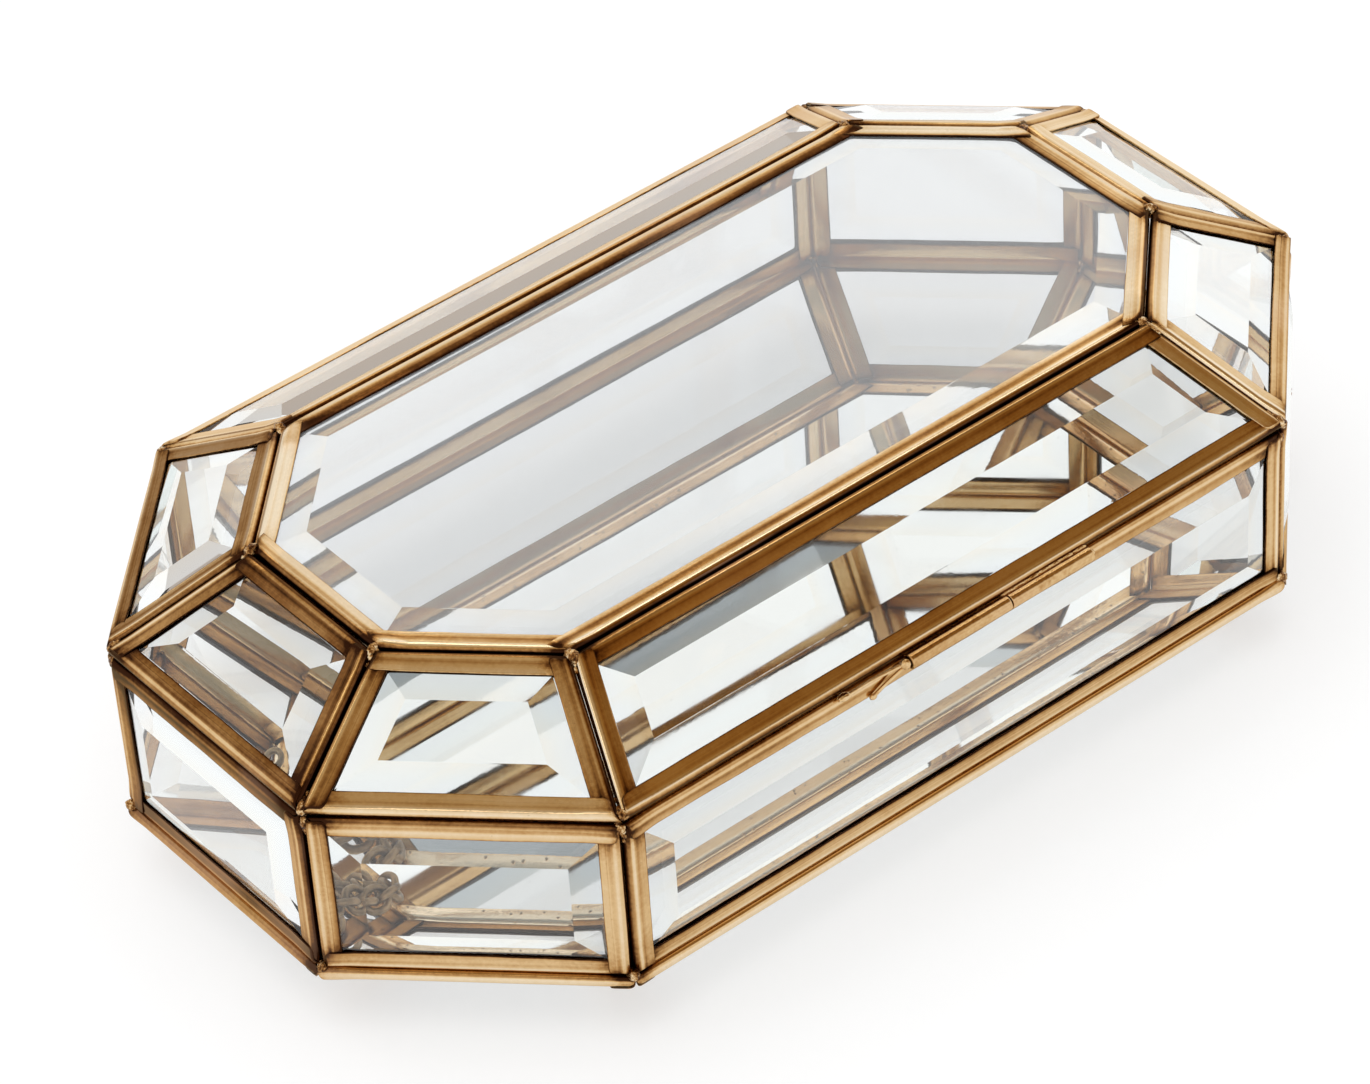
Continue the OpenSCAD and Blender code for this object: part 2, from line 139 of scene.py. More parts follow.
class BoxSizes(bpy.types.PropertyGroup):
    """Sizes of the octagon and its three tiers of panes"""
    length: length_of("Length", "Between the middles of the end walls", 0.240)
    width: length_of("Width", "Between the middles of the long walls", 0.138)
    corner_cut: length_of("Corner cut", "What each corner cut takes off both sides", 0.040)
    inset: length_of("Inset", "Inward reach of the lid's and the foot's sloping panes", 0.0256)
    ledge: length_of("Ledge", "How far the foot's upper fold stands out under the walls", 0.0006)
    floor_level: length_of("Floor level", "Middle of the mirror's channel", 0.0013)
    foot_rise: length_of("Foot rise", "From the mirror to the foot's upper fold", 0.0122)
    wall_height: length_of("Wall height", "From the walls' lower fold to the seam", 0.0357)
    rim_offset: length_of("Rim offset", "From the seam to the fold lines on both sides of it", 0.0016)
    lid_rise: length_of("Lid rise", "From the seam to the lid's flat pane", 0.016)


class ChannelSizes(bpy.types.PropertyGroup):
    """Section of the folded channel and how its strips lap at the corners"""
    thickness: length_of("Thickness", "Over both flanges", 0.0026)
    lip: length_of("Flange", "From the fold line to the lip", 0.0027)
    sheet: length_of("Sheet", "Thickness of the brass sheet", 0.00034)
    joint_gap: length_of("Joint gap", "Slit between neighbouring folds", 0.0001)
    lap_lift: length_of("Lap lift", "How far a lapping end stands over the strip under it", 0.00026)
    sag: length_of("Sag", "Most that a flange leans towards the glass", 0.00026)
    waviness: length_of("Waviness", "Height of the ripples that folding by hand leaves", 0.00005)
    seed: IntProperty(name="Seed", description="Seed of the hand-made irregularities", default=7)


class BrassFinish(bpy.types.PropertyGroup):
    """Colours of the aged brass, from the palest to the darkest, and of its stains"""
    cream: colour_of("Cream", "Rubbed, palest brass", (0.87, 0.74, 0.55))
    gold: colour_of("Gold", "Clean brass", (0.68, 0.465, 0.235))
    amber: colour_of("Amber", "Lightly tarnished brass", (0.47, 0.26, 0.095))
    brown: colour_of("Brown", "Heavily tarnished brass", (0.20, 0.085, 0.025))
    # The darkest colour is also the painted shade in the folds, at the lips and inside the channels.
    patina: colour_of("Patina", "Black-brown in the grooves", (0.035, 0.012, 0.005))
    edge: colour_of("Edge", "Brass seen at a glancing angle", (0.90, 0.78, 0.62))
    copper: colour_of("Copper", "Pinkish stain left by the flux", (0.60, 0.36, 0.235))
    solder: colour_of("Solder", "Bright solder, toned to brass", (0.80, 0.62, 0.38))
    bronze: colour_of("Bronze", "Antique finish of the chain and its eyes", (0.38, 0.265, 0.15))


class GlassFinish(bpy.types.PropertyGroup):
    """Colours of the panes and the mirror"""
    tint: colour_of("Tint", "What a pane lets through", (0.985, 0.995, 0.99))
    haze: colour_of("Haze", "What the top pane, handled most, lets through", (0.84, 0.85, 0.86))
    bevel_tint: colour_of("Bevel tint", "What a bevel lets through", (0.93, 0.95, 0.95))
    silver: colour_of("Silver", "Face of the mirror floor", (0.93, 0.94, 0.93))
    backing: colour_of("Backing", "Paint under the mirror", (0.16, 0.165, 0.17))
    bevel_roughness: amount_of("Bevel roughness", "How much less polished the bevels are", 0.02)


class HingeSizes(bpy.types.PropertyGroup):
    """Sizes of the hinge"""
    line_y: length_of("Hinge line", "Distance of the hinge line behind the middle", 0.071655)
    tube_radius: length_of("Tube radius", "Outer radius of the tubes", 0.0015)
    bore_radius: length_of("Bore radius", "Inner radius of the thin tubes", 0.00116)
    wire_radius: length_of("Wire radius", "Radius of the hinge wire", 0.0007)
    strand_radius: length_of("Strand radius", "Radius of the wire's drawn-out ends", 0.00038)
    meet_x: length_of("Meeting point", "Where the two tubes meet along the back", -0.009)
    wall_tube: length_of("Wall tube", "Length of the wall's tube", 0.024)
    lid_tube: length_of("Lid tube", "Length of the lid's tube", 0.020)
    gap: length_of("Gap", "Between the two tubes", 0.0003)


class ChainSizes(bpy.types.PropertyGroup):
    """Sizes of the stay chain"""
    wire: length_of("Wire", "Diameter of the links' wire", 0.00142)
    link_length: length_of("Link length", "Outer length of one link", 0.0072)
    link_width: length_of("Link width", "Outer width of one link", 0.0060)


class StudioSettings(bpy.types.PropertyGroup):
    """Light and view"""
    overhead: amount_of("Overhead light", "Strength of the soft light from above", 1.2)
    ambient: amount_of("Ambient", "Light that the surroundings give to dull surfaces", 0.8)
    bounce: amount_of("Bounce", "Share of light that the floor sends up to the box", 0.62)
    shade: amount_of("Shade", "How much of the box's shadow shows on the floor", 0.42)
    surroundings: amount_of("Surroundings", "Brightness of the room in metal", 1.05)
    lens: amount_of("Lens", "Focal length on a 36 mm sensor, in millimetres", 149.73)


# -------- plain geometry

def octagon(inset):
    """Half length, half width and corner cut of the rim's octagon, moved in evenly by inset."""
    b = bpy.context.scene.box_sizes
    cut = b.corner_cut - (2 - math.sqrt(2)) * inset
    return np.array([b.length / 2 - inset, b.width / 2 - inset, cut])


def levels():
    """Heights of the fold lines, as in the solid model: the walls stand on the foot's upper fold."""
    b, c = bpy.context.scene.box_sizes, bpy.context.scene.channel_sizes
    fold_r, round_r = c.thickness / 2, c.thickness / 2 * SOLID_BULGE
    pitch = math.atan2(b.foot_rise, b.inset + b.ledge)
    ledge = b.floor_level + b.foot_rise
    apart = (round_r + fold_r + c.joint_gap - b.ledge * math.sin(pitch)) / math.cos(pitch)
    wall = ledge + apart - (round_r - fold_r)
    seam = wall + b.wall_height
    return {"ledge": ledge, "wall": wall, "wall_rim": seam - b.rim_offset, "seam": seam,
            "lid_rim": seam + b.rim_offset, "top": seam + b.lid_rise}


def corners(o):
    """The eight corner points of an octagon, anticlockwise; side k runs from corner k to the next."""
    a, b, c = o
    quarter = [[a, c - b], [a, b - c], [a - c, b], [c - a, b]]
    return np.array(quarter + [[-x, -y] for x, y in quarter])


def unit(v):
    """A vector, or each row of an array of vectors, made one long."""
    return v / np.linalg.norm(v, axis=-1, keepdims=True)


def moved_in(p, back):
    """Moves each edge of a polygon inwards: every new corner is where two neighbouring moved edges meet. An edge with
    the inward unit vector n becomes the line of the points q with n . q = n . p + back."""
    d = np.roll(p, -1, 0) - p
    n = unit(np.stack([-d[:, 1], d[:, 0]], 1))
    m = np.roll(n, 1, 0)
    v, u = (p * n).sum(1) + back, (p * m).sum(1) + np.roll(back, 1)
    det = m[:, 0] * n[:, 1] - m[:, 1] * n[:, 0]
    return np.stack([(u * n[:, 1] - v * m[:, 1]) / det, (v * m[:, 0] - u * n[:, 0]) / det], 1)


def turn(axis, degrees):
    """Rotation matrix about one axis."""
    c, s = math.cos(math.radians(degrees)), math.sin(math.radians(degrees))
    i, j = {"x": (1, 2), "y": (2, 0), "z": (0, 1)}[axis]
    m = np.eye(3)
    m[i, i] = m[j, j] = c
    m[i, j], m[j, i] = -s, s
    return m


class Pane:
    """A pane's fold lines in its own plane, and its place: a turn matrix and an origin. +Z is its outer face."""

    def __init__(self, name, folds, matrix, origin):
        self.name, self.folds, self.matrix, self.origin = name, folds, matrix, np.array(origin)

    def place(self, p):
        return p @ self.matrix.T + self.origin


def setback(angle):
    """Distance of a pane's fold line from the joint line, where two panes meet at an angle in degrees."""
    c = bpy.context.scene.channel_sizes
    return (c.thickness / 2 + c.joint_gap / 2) / math.sin(math.radians(angle / 2))


def hip_angle(pitch):
    """Angle between two neighbours in a tier of that pitch, in degrees. In plan they turn by 45 degrees."""
    s = math.sin(math.radians(pitch))
    return 180 - math.degrees(math.acos(1 - s * s * (1 - math.cos(math.radians(45)))))


def side_pane(name, low, high, slant, back, matrix, origin):
    """A four-sided pane with its half widths at the lower and upper edge and its height along the slope."""
    outline = np.array([[-low, 0], [low, 0], [high, slant], [-high, slant]])
    return Pane(name, moved_in(outline, np.array(back)), matrix, origin)


def all_panes():
    """The 26 panes, from the same joint lines and setbacks as the solid model."""
    b, z = bpy.context.scene.box_sizes, levels()
    rims = [corners(octagon(inset)) for inset in (0, b.inset, -b.ledge)]
    lid_height, foot_reach = z["top"] - z["lid_rim"], b.inset + b.ledge
    lid_pitch = math.degrees(math.atan2(lid_height, b.inset))
    foot_pitch = math.degrees(math.atan2(b.foot_rise, foot_reach))
    top_back, floor_back, wall_corner = setback(180 - lid_pitch), setback(180 - foot_pitch), setback(135)
    lid_hip, foot_hip = setback(hip_angle(lid_pitch)), setback(hip_angle(foot_pitch))
    panes = [
        Pane("lid_top", moved_in(rims[1], np.full(8, top_back)), np.eye(3), [0, 0, z["top"]]),
        Pane("base_mirror", moved_in(rims[1], np.full(8, floor_back)), np.eye(3), [0, 0, b.floor_level]),
    ]
    for k, side in enumerate(SIDES):
        half_rim, half_in, half_ledge = (np.linalg.norm(p[(k + 1) % 8] - p[k]) / 2 for p in rims)
        rim_mid, in_mid = ((p[(k + 1) % 8] + p[k]) / 2 for p in rims[:2])
        upright = turn("z", 90 + 45 * k) @ turn("x", 90)
        panes += [
            side_pane(f"lid_{side}", half_rim, half_in, math.hypot(b.inset, lid_height),
                      (0, lid_hip, top_back, lid_hip), upright @ turn("x", lid_pitch - 90),
                      (*rim_mid, z["lid_rim"])),
            side_pane(f"wall_{side}", half_rim, half_rim, z["wall_rim"] - z["wall"],
                      (0, wall_corner, 0, wall_corner), upright, (*rim_mid, z["wall"])),
            side_pane(f"foot_{side}", half_in, half_ledge, math.hypot(foot_reach, b.foot_rise),
                      (floor_back, foot_hip, 0, foot_hip), upright @ turn("x", 90 - foot_pitch),
                      (*in_mid, b.floor_level)),
        ]
    return panes


# -------- meshes

class Shells:
    """Collects closed grids of points and makes them one mesh. Every grid is an array of rows of points. Each point
    carries a share from 0 to 1 of tarnish, grime and painted shade, and a tone from -1, brown, to 1, cream, that also
    holds painted highlights and shade."""

    def __init__(self):
        self.parts, self.count = [], 0

    def add(self, grid, faces, patina=0.0, tone=0.0, uv=None):
        """Adds one closed shell, with its faces turned so that its volume is positive."""
        p = grid.reshape(-1, 3)
        a, b, c, d = ((p - p.mean(0))[faces[:, i]] for i in range(4))
        volume = np.einsum("ij,ij->", a, np.cross(b, c)) + np.einsum("ij,ij->", a, np.cross(c, d))
        marks = [np.broadcast_to(v, grid.shape[:2]).reshape(-1) for v in (patina, tone)]
        uv = np.zeros((len(p), 2)) if uv is None else uv.reshape(-1, 2)
        self.parts.append((p, (faces[:, ::-1] if volume < 0 else faces) + self.count, *marks, uv))
        self.count += len(p)

    def build(self, name, sharp=35):
        """Makes the object, smooth but for edges that turn by more than the sharp angle in degrees."""
        points, faces, patina, tone, uv = (np.concatenate(column) for column in zip(*self.parts))
        mesh = bpy.data.meshes.new(name)
        mesh.from_pydata(points.tolist(), [], faces.tolist())
        for key, values in (("patina", patina), ("tone", tone)):
            layer = mesh.attributes.new(key, "FLOAT", "POINT")
            layer.data.foreach_set("value", values.astype(np.float32))
        layer = mesh.uv_layers.new(name="strip")
        loops = np.empty(len(mesh.loops), np.int32)
        mesh.loops.foreach_get("vertex_index", loops)
        layer.data.foreach_set("uv", uv[loops].astype(np.float32).ravel())
        mesh.shade_smooth()
        mesh.set_sharp_from_angle(angle=math.radians(sharp))
        obj = bpy.data.objects.new(name, mesh)
        bpy.context.scene.collection.objects.link(obj)
        return obj


def grid_faces(rows, cols, wrap_rows=False):
    """Quads between neighbouring points of a grid whose columns close into a ring."""
    i = np.arange(rows if wrap_rows else rows - 1)[:, None]
    j = np.arange(cols)[None, :]
    i2, j2 = (i + 1) % rows, (j + 1) % cols
    return np.stack([i * cols + j, i * cols + j2, i2 * cols + j2, i2 * cols + j], -1).reshape(-1, 4)


def open_ring_caps(rows, cols):
    """Quads that close both ends of a folded strip, between the outer half of its section and the inner half."""
    j = np.arange(cols // 2 - 1)
    quad = np.stack([j, j + 1, cols - 2 - j, cols - 1 - j], -1)
    return np.concatenate([quad[:, ::-1], quad + (rows - 1) * cols])


def circle(points):
    """Angles evenly round a circle."""
    return np.linspace(0, 2 * np.pi, points, endpoint=False)


def squared(values, power):
    """A sine or cosine with its size raised to a power: below 1, the circle that it draws turns squarish."""
    return np.sign(values) * np.abs(values) ** power


def channel_section():
    """Closed section of the folded channel: inward distance, height, grime and painted shade in the fold, grime and
    painted shade elsewhere, crease, painted shoulder light.
    Outside: a flat flange, then a squarish half round, then the other flange. Inside: the same, one sheet further in.
    The grime and painted shade sit at the back of the fold, where neighbours touch, at the cut edge of the lip and
    inside. The crease is a fine dark line of painted shade along the middle of each flange, where the folding tool
    leaves a crease. Each fold's shoulders carry a pale painted highlight, and the flange beside them a darker painted
    line."""
    c = bpy.context.scene.channel_sizes
    r, n = c.thickness / 2, len(FLAT_SHARES)
    a = np.radians(np.linspace(90, -90, BEND_POINTS))

    def half(radius):
        u = np.concatenate([FLAT_SHARES * c.lip, -radius * squared(np.cos(a), SQUARENESS), FLAT_SHARES[::-1] * c.lip])
        w = np.concatenate([np.full(n, radius), radius * squared(np.sin(a), SQUARENESS), np.full(n, -radius)])
        return u, w

    u0, w0 = half(r)
    u1, w1 = half(r - c.sheet)
    w0[0] -= LIP_TURN_IN
    w0[-1] += LIP_TURN_IN
    # Grime and painted shade at the back of the fold, and along the lip and over the inner half of the section.
    fold_dirt_and_shade = FOLD_DIRT_AND_SHADE * np.clip((-u0 / r - DARK_FROM) / (1 - DARK_FROM), 0, 1)
    lip_dirt_and_shade, crease, painted_shoulder_light, inside = np.zeros((4, len(u0)))
    lip_dirt_and_shade[[0, -1]], lip_dirt_and_shade[[1, -2]] = LIP_DIRT_AND_SHADE
    # Painted shade along the crease line.
    crease[[CREASE_POINT, -1 - CREASE_POINT]] = 1.0
    # Painted highlight on the fold's shoulders, and a darker painted line on the flange beside them.
    painted_shoulder_light[[n, n + 1, -n - 2, -n - 1]], painted_shoulder_light[[n - 2, 1 - n]] = 1.0, -0.5
    marks = [(fold_dirt_and_shade, inside), (lip_dirt_and_shade, inside + 1), (crease, inside), (painted_shoulder_light, inside)]
    return [np.concatenate(pair) for pair in [(u0, u1[::-1]), (w0, w1[::-1]), *marks]]


def corner_angle(q, a, b):
    """Angle at q between the ways to a and b, in radians."""
    a, b = a - q, b - q
    return math.acos(a @ b / np.linalg.norm(a) / np.linalg.norm(b))


def half_wave(t):
    """Half a cosine wave: falls smoothly from 1 at 0 to 0 at 1, and stays there."""
    return 0.5 + 0.5 * np.cos(np.pi * np.clip(t, 0, 1))


def strip_ends(u, side, run, before, after, pointed, rng):
    """Where each line of the section starts and ends along the strip, mitred at the angles of both corners. The start
    is cut back under the strip before it. The end laps over the next one, with its lip corner rounded off by a quarter
    circle or its end brought to a point."""
    c = bpy.context.scene.channel_sizes
    r = c.thickness / 2
    rounding = rng.uniform(*LIP_CORNER)
    over = np.clip(u - (c.lip - rounding), 0, rounding)
    lip_round = rounding - np.sqrt(np.maximum(rounding ** 2 - over ** 2, 0))
    point = np.abs(u - POINT_MIDDLE) * POINT_SLOPE * (1 - side)
    reach = rng.uniform(*LAP_REACH) * (1 - side) + (r - FOLD_OVERLAP) * side
    start = u / math.tan(before) + START_SETBACK * (1 - side) - (r - FOLD_SETBACK) / math.sin(before) * side
    end = run - u / math.tan(after) + reach / math.sin(after)
    return start, end - (point if pointed and after > POINTED_FROM else lip_round)


def strip_rows(run):
    """Shares of a strip's run for its rows of points, close together near both ends."""
    long = run / MM
    middle = np.linspace(END_LENGTH, max(END_LENGTH + 1, long - END_LENGTH), max(3, int(long / MIDDLE_STEP)))
    near = np.concatenate([np.linspace(0, END_LENGTH, END_ROWS)[:-1], middle]) * MM
    s = np.concatenate([near, run - np.linspace(END_LENGTH, 0, END_ROWS)[1:] * MM])
    return np.unique(np.clip(s / run, 0, 1))[:, None]


def fading(mark, distance):
    """A mark that dies away as an exponential of the distance over its reach."""
    strength, reach = mark
    return strength * np.exp(-distance / reach)


def strip_patina_and_shade(pane, edge, fold_dirt_and_shade, dirt_and_shade, from_start, from_end):
    """Dark share at each point: the section's own grime and painted shade, less of it in the folds that face outside,
    and grime and scorching that fade away from both ends."""
    lap = fading(END_GRIME, from_end) + fading(START_GRIME, np.maximum(from_start - HIDDEN_START, 0))
    scorched = fading(END_SCORCH, from_end) + fading(START_SCORCH, from_start)
    open_fold = pane.name.startswith(("foot", "base")) or (pane.name.startswith("wall") and edge == 0)
    return np.clip(fold_dirt_and_shade * (OPEN_FOLD_SHARE if open_fold else 1.0) + dirt_and_shade + lap + scorched, 0, 1)


def strip_tone(pane, edge, u, w, crease, painted_shoulder_light, rng):
    """Tone at each point: straight lines between the strip's four tones across its outer face, which hold tarnish and
    painted reflections, a darker line of painted shade along the crease, painted highlights on the shoulders, and one
    tone for the inner face."""
    c = bpy.context.scene.channel_sizes
    r = c.thickness / 2
    tones = TONES.get(pane.name, ())
    lip_tone, mid_tone, fold_tone, far_tone = np.array(tones[edge] if edge < len(tones) else PLAIN_TONE) / 100
    across = [-r, -0.75 * r, -0.3 * r, 0.5 * c.lip, c.lip]
    tone = np.interp(u, across, [far_tone, far_tone, fold_tone, mid_tone, lip_tone])
    # The crease is darkened as painted shade, and the shoulders are lightened as painted highlight.
    tone = tone + rng.uniform(*STRIP_SPREAD) - crease * max(0.0, rng.uniform(*CREASE_DARKENS))
    return np.where(w < 0, INNER_TONES.get(pane.name, 0.0), tone + painted_shoulder_light * rng.uniform(*SHOULDER_HIGHLIGHT))


def channel_strip(shells, pane, i, rng, reverse):
    """One strip along edge i: the section carried along the fold line. Its start is pressed down under the strip before
    it, and its end is lifted over the next one, both in half a cosine wave. Each flange leans on the glass: its height
    falls with the square of the distance from the fold, or, where the fold is pressed in, with the nearness to it.
    Sines of several lengths, added up, make its height ripple and its lip sway."""
    c = bpy.context.scene.channel_sizes
    r = c.thickness / 2
    p = pane.folds[::-1] if reverse else pane.folds
    n = len(p)
    edge = (n - 2 - i) % n if reverse else i
    p0, p1, before, after = p[i], p[(i + 1) % n], p[i - 1], p[(i + 2) % n]
    run = np.linalg.norm(p1 - p0)
    along = (p1 - p0) / run
    across = np.array([-along[1], along[0]]) * (-1 if reverse else 1)
    u, w, fold_dirt_and_shade, dirt_and_shade, crease, painted_shoulder_light = channel_section()
    u, w = u[None, :], w[None, :]
    side = 1 - np.clip(np.abs(w) / r, 0, 1) ** 2          # 0 on the flanges, 1 on the outside of the fold
    start, end = strip_ends(u, side, run, corner_angle(p0, before, p1), corner_angle(p1, p0, after), n == 8, rng)
    s = strip_rows(run)
    x = start + (end - start) * s
    from_end, from_start = run * (1 - s), run * s
    ramp = rng.uniform(*LAP_RAMP)
    lift = half_wave(from_end / ramp) * c.lap_lift * rng.uniform(*LAP_SPREAD)
    dip = half_wave(from_start / DIP_LENGTH) * DIP_DEPTH
    k = rng.uniform(*WAVE_SPREAD, 4) * WAVES
    f = rng.uniform(0, PHASES, 8)
    ripple = sum(high * np.sin(k[j] * x + f[j]) for j, high in enumerate(RIPPLE))
    sway = sum(high * np.sin(k[j] * x + f[j + 4]) for j, high in enumerate(SWAY))
    swell = c.waviness * ripple * np.clip(u / c.lip, -0.4, 1) * np.sign(w)
    lean = rng.uniform(*LEAN_RANGE, 2)
    if pane.name == "lid_top" and TOP_LEANS[edge] is not None:
        lean[0] = TOP_LEANS[edge]
    lean = np.where(w > 0, lean[0], lean[1]) * c.sag
    from_fold = np.clip(u / c.lip, 0, 1)
    sunk = np.where(lean > 0, lean * from_fold ** 2, -lean * (1 - from_fold) * FOLD_LEAN_SHARE)
    sunk = sunk * (1 - lift / (2 * c.lap_lift))
    height = w * (1 + (lift - dip - sunk) / r) + swell
    if pane.name == "base_mirror":
        height = np.maximum(height, -r)                   # its lower face lies on the floor
    inward = u * (1 - dip / r * np.clip(-u / r, 0, 1)) + c.waviness * SWAY_SHARE * sway * (u > SWAY_FROM)
    flat = p0[None, None, :] + x[..., None] * along + inward[..., None] * across
    grid = np.concatenate([flat, np.broadcast_to(height[..., None], x.shape + (1,))], -1)
    faces = np.concatenate([grid_faces(*x.shape), open_ring_caps(*x.shape)])
    arc = np.concatenate([[0], np.cumsum(np.hypot(np.diff(u[0]), np.diff(w[0])))])
    uv = np.stack([x + rng.uniform(0, 1), np.broadcast_to(arc[None, :], x.shape) + rng.uniform(0, 1)], -1)
    patina = strip_patina_and_shade(pane, edge, fold_dirt_and_shade, dirt_and_shade, from_start, from_end)
    tone = strip_tone(pane, edge, u, w, crease, painted_shoulder_light, rng)
    shells.add(pane.place(grid.reshape(-1, 3)).reshape(grid.shape), faces, patina, tone, uv)


def lumps(shells, centres, axes, radii, rng, rough=0.30):
    """Solder lumps that share their axes: stretched round surfaces whose radius swells and shrinks with a few waves
    over the latitude and the longitude, the finer ones less than the coarse ones."""
    lat, lon = 21, 32
    a, b = np.linspace(0, np.pi, lat)[:, None], circle(lon)[None, :]
    for centre, radius in zip(centres, radii):
        f = rng.uniform(0, PHASES, 10)
        wave = np.sin(2 * b + f[0]) * np.sin(a) + 0.7 * np.sin(3 * b + f[1]) * np.sin(2 * a + f[2]) * np.sin(a)
        wave = wave + 0.6 * np.sin(5 * b + f[3]) * np.sin(4 * a + f[4]) * np.sin(a) + 0.6 * np.cos(2 * a + f[5])
        wave = wave + 0.45 * np.sin(7 * b + 5 * a + f[6]) * np.sin(a) ** 2
        wave = wave + 0.3 * np.sin(9 * b - 8 * a + f[7]) * np.sin(a) ** 2
        q = 1 + rough * 0.5 * wave
        ball = np.stack([np.sin(a) * np.cos(b) * q, np.sin(a) * np.sin(b) * q, np.cos(a) * q + 0 * b], -1)
        p = ((ball * radius).reshape(-1, 3) @ axes + centre).reshape(lat, lon, 3)
        p[0], p[-1] = p[0].mean(0), p[-1].mean(0)
        shells.add(p, grid_faces(lat, lon))


def corner_lumps(shells, at, end, size, rng):
    """A fat lump of solder on a corner, and two that get smaller along the joint towards its other end."""
    at = np.array(at)
    way = unit(np.array(end) - at)
    out = np.array([*unit(at[:2]), 0.0])
    across = unit(np.cross(way, out))
    centres, radii = [], []
    for step, share in ((0.0, 1.3), (1.3, 0.8), (2.7, 0.5)):
        along = way * (step + rng.uniform(-0.3, 0.3)) * MM
        centres.append(at + along + across * rng.uniform(-0.4, 0.4) * MM + out * 0.05 * MM)
        radii.append(np.array([1.25, 1.0, 1.0]) * size * share * rng.uniform(0.85, 1.1, 3) * MM)
    lumps(shells, centres, np.array([way, across, np.cross(across, way)]), radii, rng)


def wire(shells, points, radius):
    """Round wire along a smooth curve: the corners of its path are cut twice, a circle is carried along it, and at both
    ends the radius falls like that of half a ball."""
    round_points, cap_rows = 14, 5
    p = np.asarray(points, float)
    for _ in range(2):
        cut = np.stack([0.75 * p[:-1] + 0.25 * p[1:], 0.25 * p[:-1] + 0.75 * p[1:]], 1).reshape(-1, 3)
        p = np.concatenate([p[:1], cut, p[-1:]])
    way = unit(np.gradient(p, axis=0))
    a = np.linspace(np.pi / 2, 0, cap_rows + 1)[:-1, None]
    p = np.concatenate([p[0] - way[0] * radius * np.sin(a), p, p[-1] + way[-1] * radius * np.sin(a[::-1])])
    way = np.concatenate([np.repeat(way[:1], cap_rows, 0), way, np.repeat(way[-1:], cap_rows, 0)])
    size = np.concatenate([np.cos(a[:, 0]), np.ones(len(p) - 2 * cap_rows), np.cos(a[::-1, 0])]) * radius
    side = unit(np.cross(way, [0.0, 0.0, 1.0]))
    up = np.cross(side, way)
    b = circle(round_points)[None, :, None]
    ring = np.cos(b) * side[:, None] + np.sin(b) * up[:, None]
    shells.add(p[:, None] + size[:, None, None] * ring, grid_faces(len(p), round_points))


def hinge_tube(shells, x0, x1, rim_side, rng):
    """A thin open tube on the hinge line: a closed profile of outer wall, rounded ends and bore, turned round the line.
    A row of solder lumps holds it to the rim's fold."""
    h, b = bpy.context.scene.hinge_sizes, bpy.context.scene.box_sizes
    line = np.array([0.0, h.line_y, levels()["seam"]])
    soft, full, web, steps = 0.10 * MM, h.tube_radius, 1.85 * MM, 7
    x = np.array([x0, x0 + soft, x0 + soft * 3, x1 - soft * 3, x1 - soft, x1, x1, x0])
    r = np.array([full - soft, full, full, full, full, full - soft, h.bore_radius, h.bore_radius])
    a = circle(40)[None, :]
    grid = np.stack([x[:, None] + 0 * a, r[:, None] * np.cos(a), r[:, None] * np.sin(a)], -1) + line
    # Painted shade in the bore and a little at the tube's end rim, kept as its dark share; the tube's brass does not
    # read it.
    inside = np.array([0, 0, 0, 0, 0, 0.2, 1.0, 1.0])[:, None]
    shells.add(grid, grid_faces(*grid.shape[:2], True), inside, 0.15)
    away = unit(np.array([0.0, b.width / 2 - h.line_y, rim_side * b.rim_offset]))
    half = (x1 - x0) / steps / 2
    centres = [line + away * web + [x0 + half * (2 * k + 1), 0, 0] for k in range(steps)]
    axes = np.array([[1.0, 0, 0], away, np.cross([1.0, 0, 0], away)])
    lumps(shells, centres, axes, [np.array([half * 1.25, 0.80 * MM, 0.62 * MM])] * steps, rng, 0.18)


def chain_link(shells, centre, axes, rng):
    """One oval link of round wire: a stretched circle, squared a little, in the plane of the first two axes, with a
    circle of the wire's radius carried round it."""
    c = bpy.context.scene.chain_sizes
    rows, cols = 36, 12
    a, b = circle(rows), circle(cols)
    half = np.array([c.link_length - c.wire, c.link_width - c.wire]) / 2 * rng.uniform(0.97, 1.02, 2)
    path = np.stack([half[0] * squared(np.cos(a), 0.84), half[1] * squared(np.sin(a), 0.9)], 1)
    way = np.roll(path, -1, 0) - np.roll(path, 1, 0)
    out = unit(np.stack([way[:, 1], -way[:, 0]], 1))
    r = c.wire / 2
    flat = path[:, None, :] + out[:, None, :] * (r * np.cos(b))[None, :, None]
    ring = np.concatenate([flat, np.broadcast_to((r * np.sin(b))[None, :, None], (rows, cols, 1))], -1)
    shells.add(ring @ axes + centre, grid_faces(rows, cols, True))


def shells_of(obj):
    """Point sets of the closed shells in a mesh of loose triangles: points that share a place are one point, and each
    point takes the lowest number among the triangles round it until no number changes."""
    mesh = obj.data
    mesh.calc_loop_triangles()
    points = np.empty(len(mesh.vertices) * 3, np.float32)
    mesh.vertices.foreach_get("co", points)
    triangles = np.empty(len(mesh.loop_triangles) * 3, np.int32)
    mesh.loop_triangles.foreach_get("vertices", triangles)
    points, place = np.unique(np.round(points.reshape(-1, 3), 6), axis=0, return_inverse=True)
    triangles = place.ravel()[triangles].reshape(-1, 3)
    label = np.arange(len(points))
    while True:
        lower = label.copy()
        np.minimum.at(lower, triangles.ravel(), np.repeat(label[triangles].min(1), 3))
        if (lower == label).all():
            return [points[label == k].astype(float) for k in np.unique(label)]
        label = lower


def welded(obj):
    """Welds points that lie on each other, so that poles are closed."""
    bm = bmesh.new()
    bm.from_mesh(obj.data)
    bmesh.ops.remove_doubles(bm, verts=bm.verts, dist=1e-7)
    bm.to_mesh(obj.data)
    bm.free()
    return obj


# -------- materials

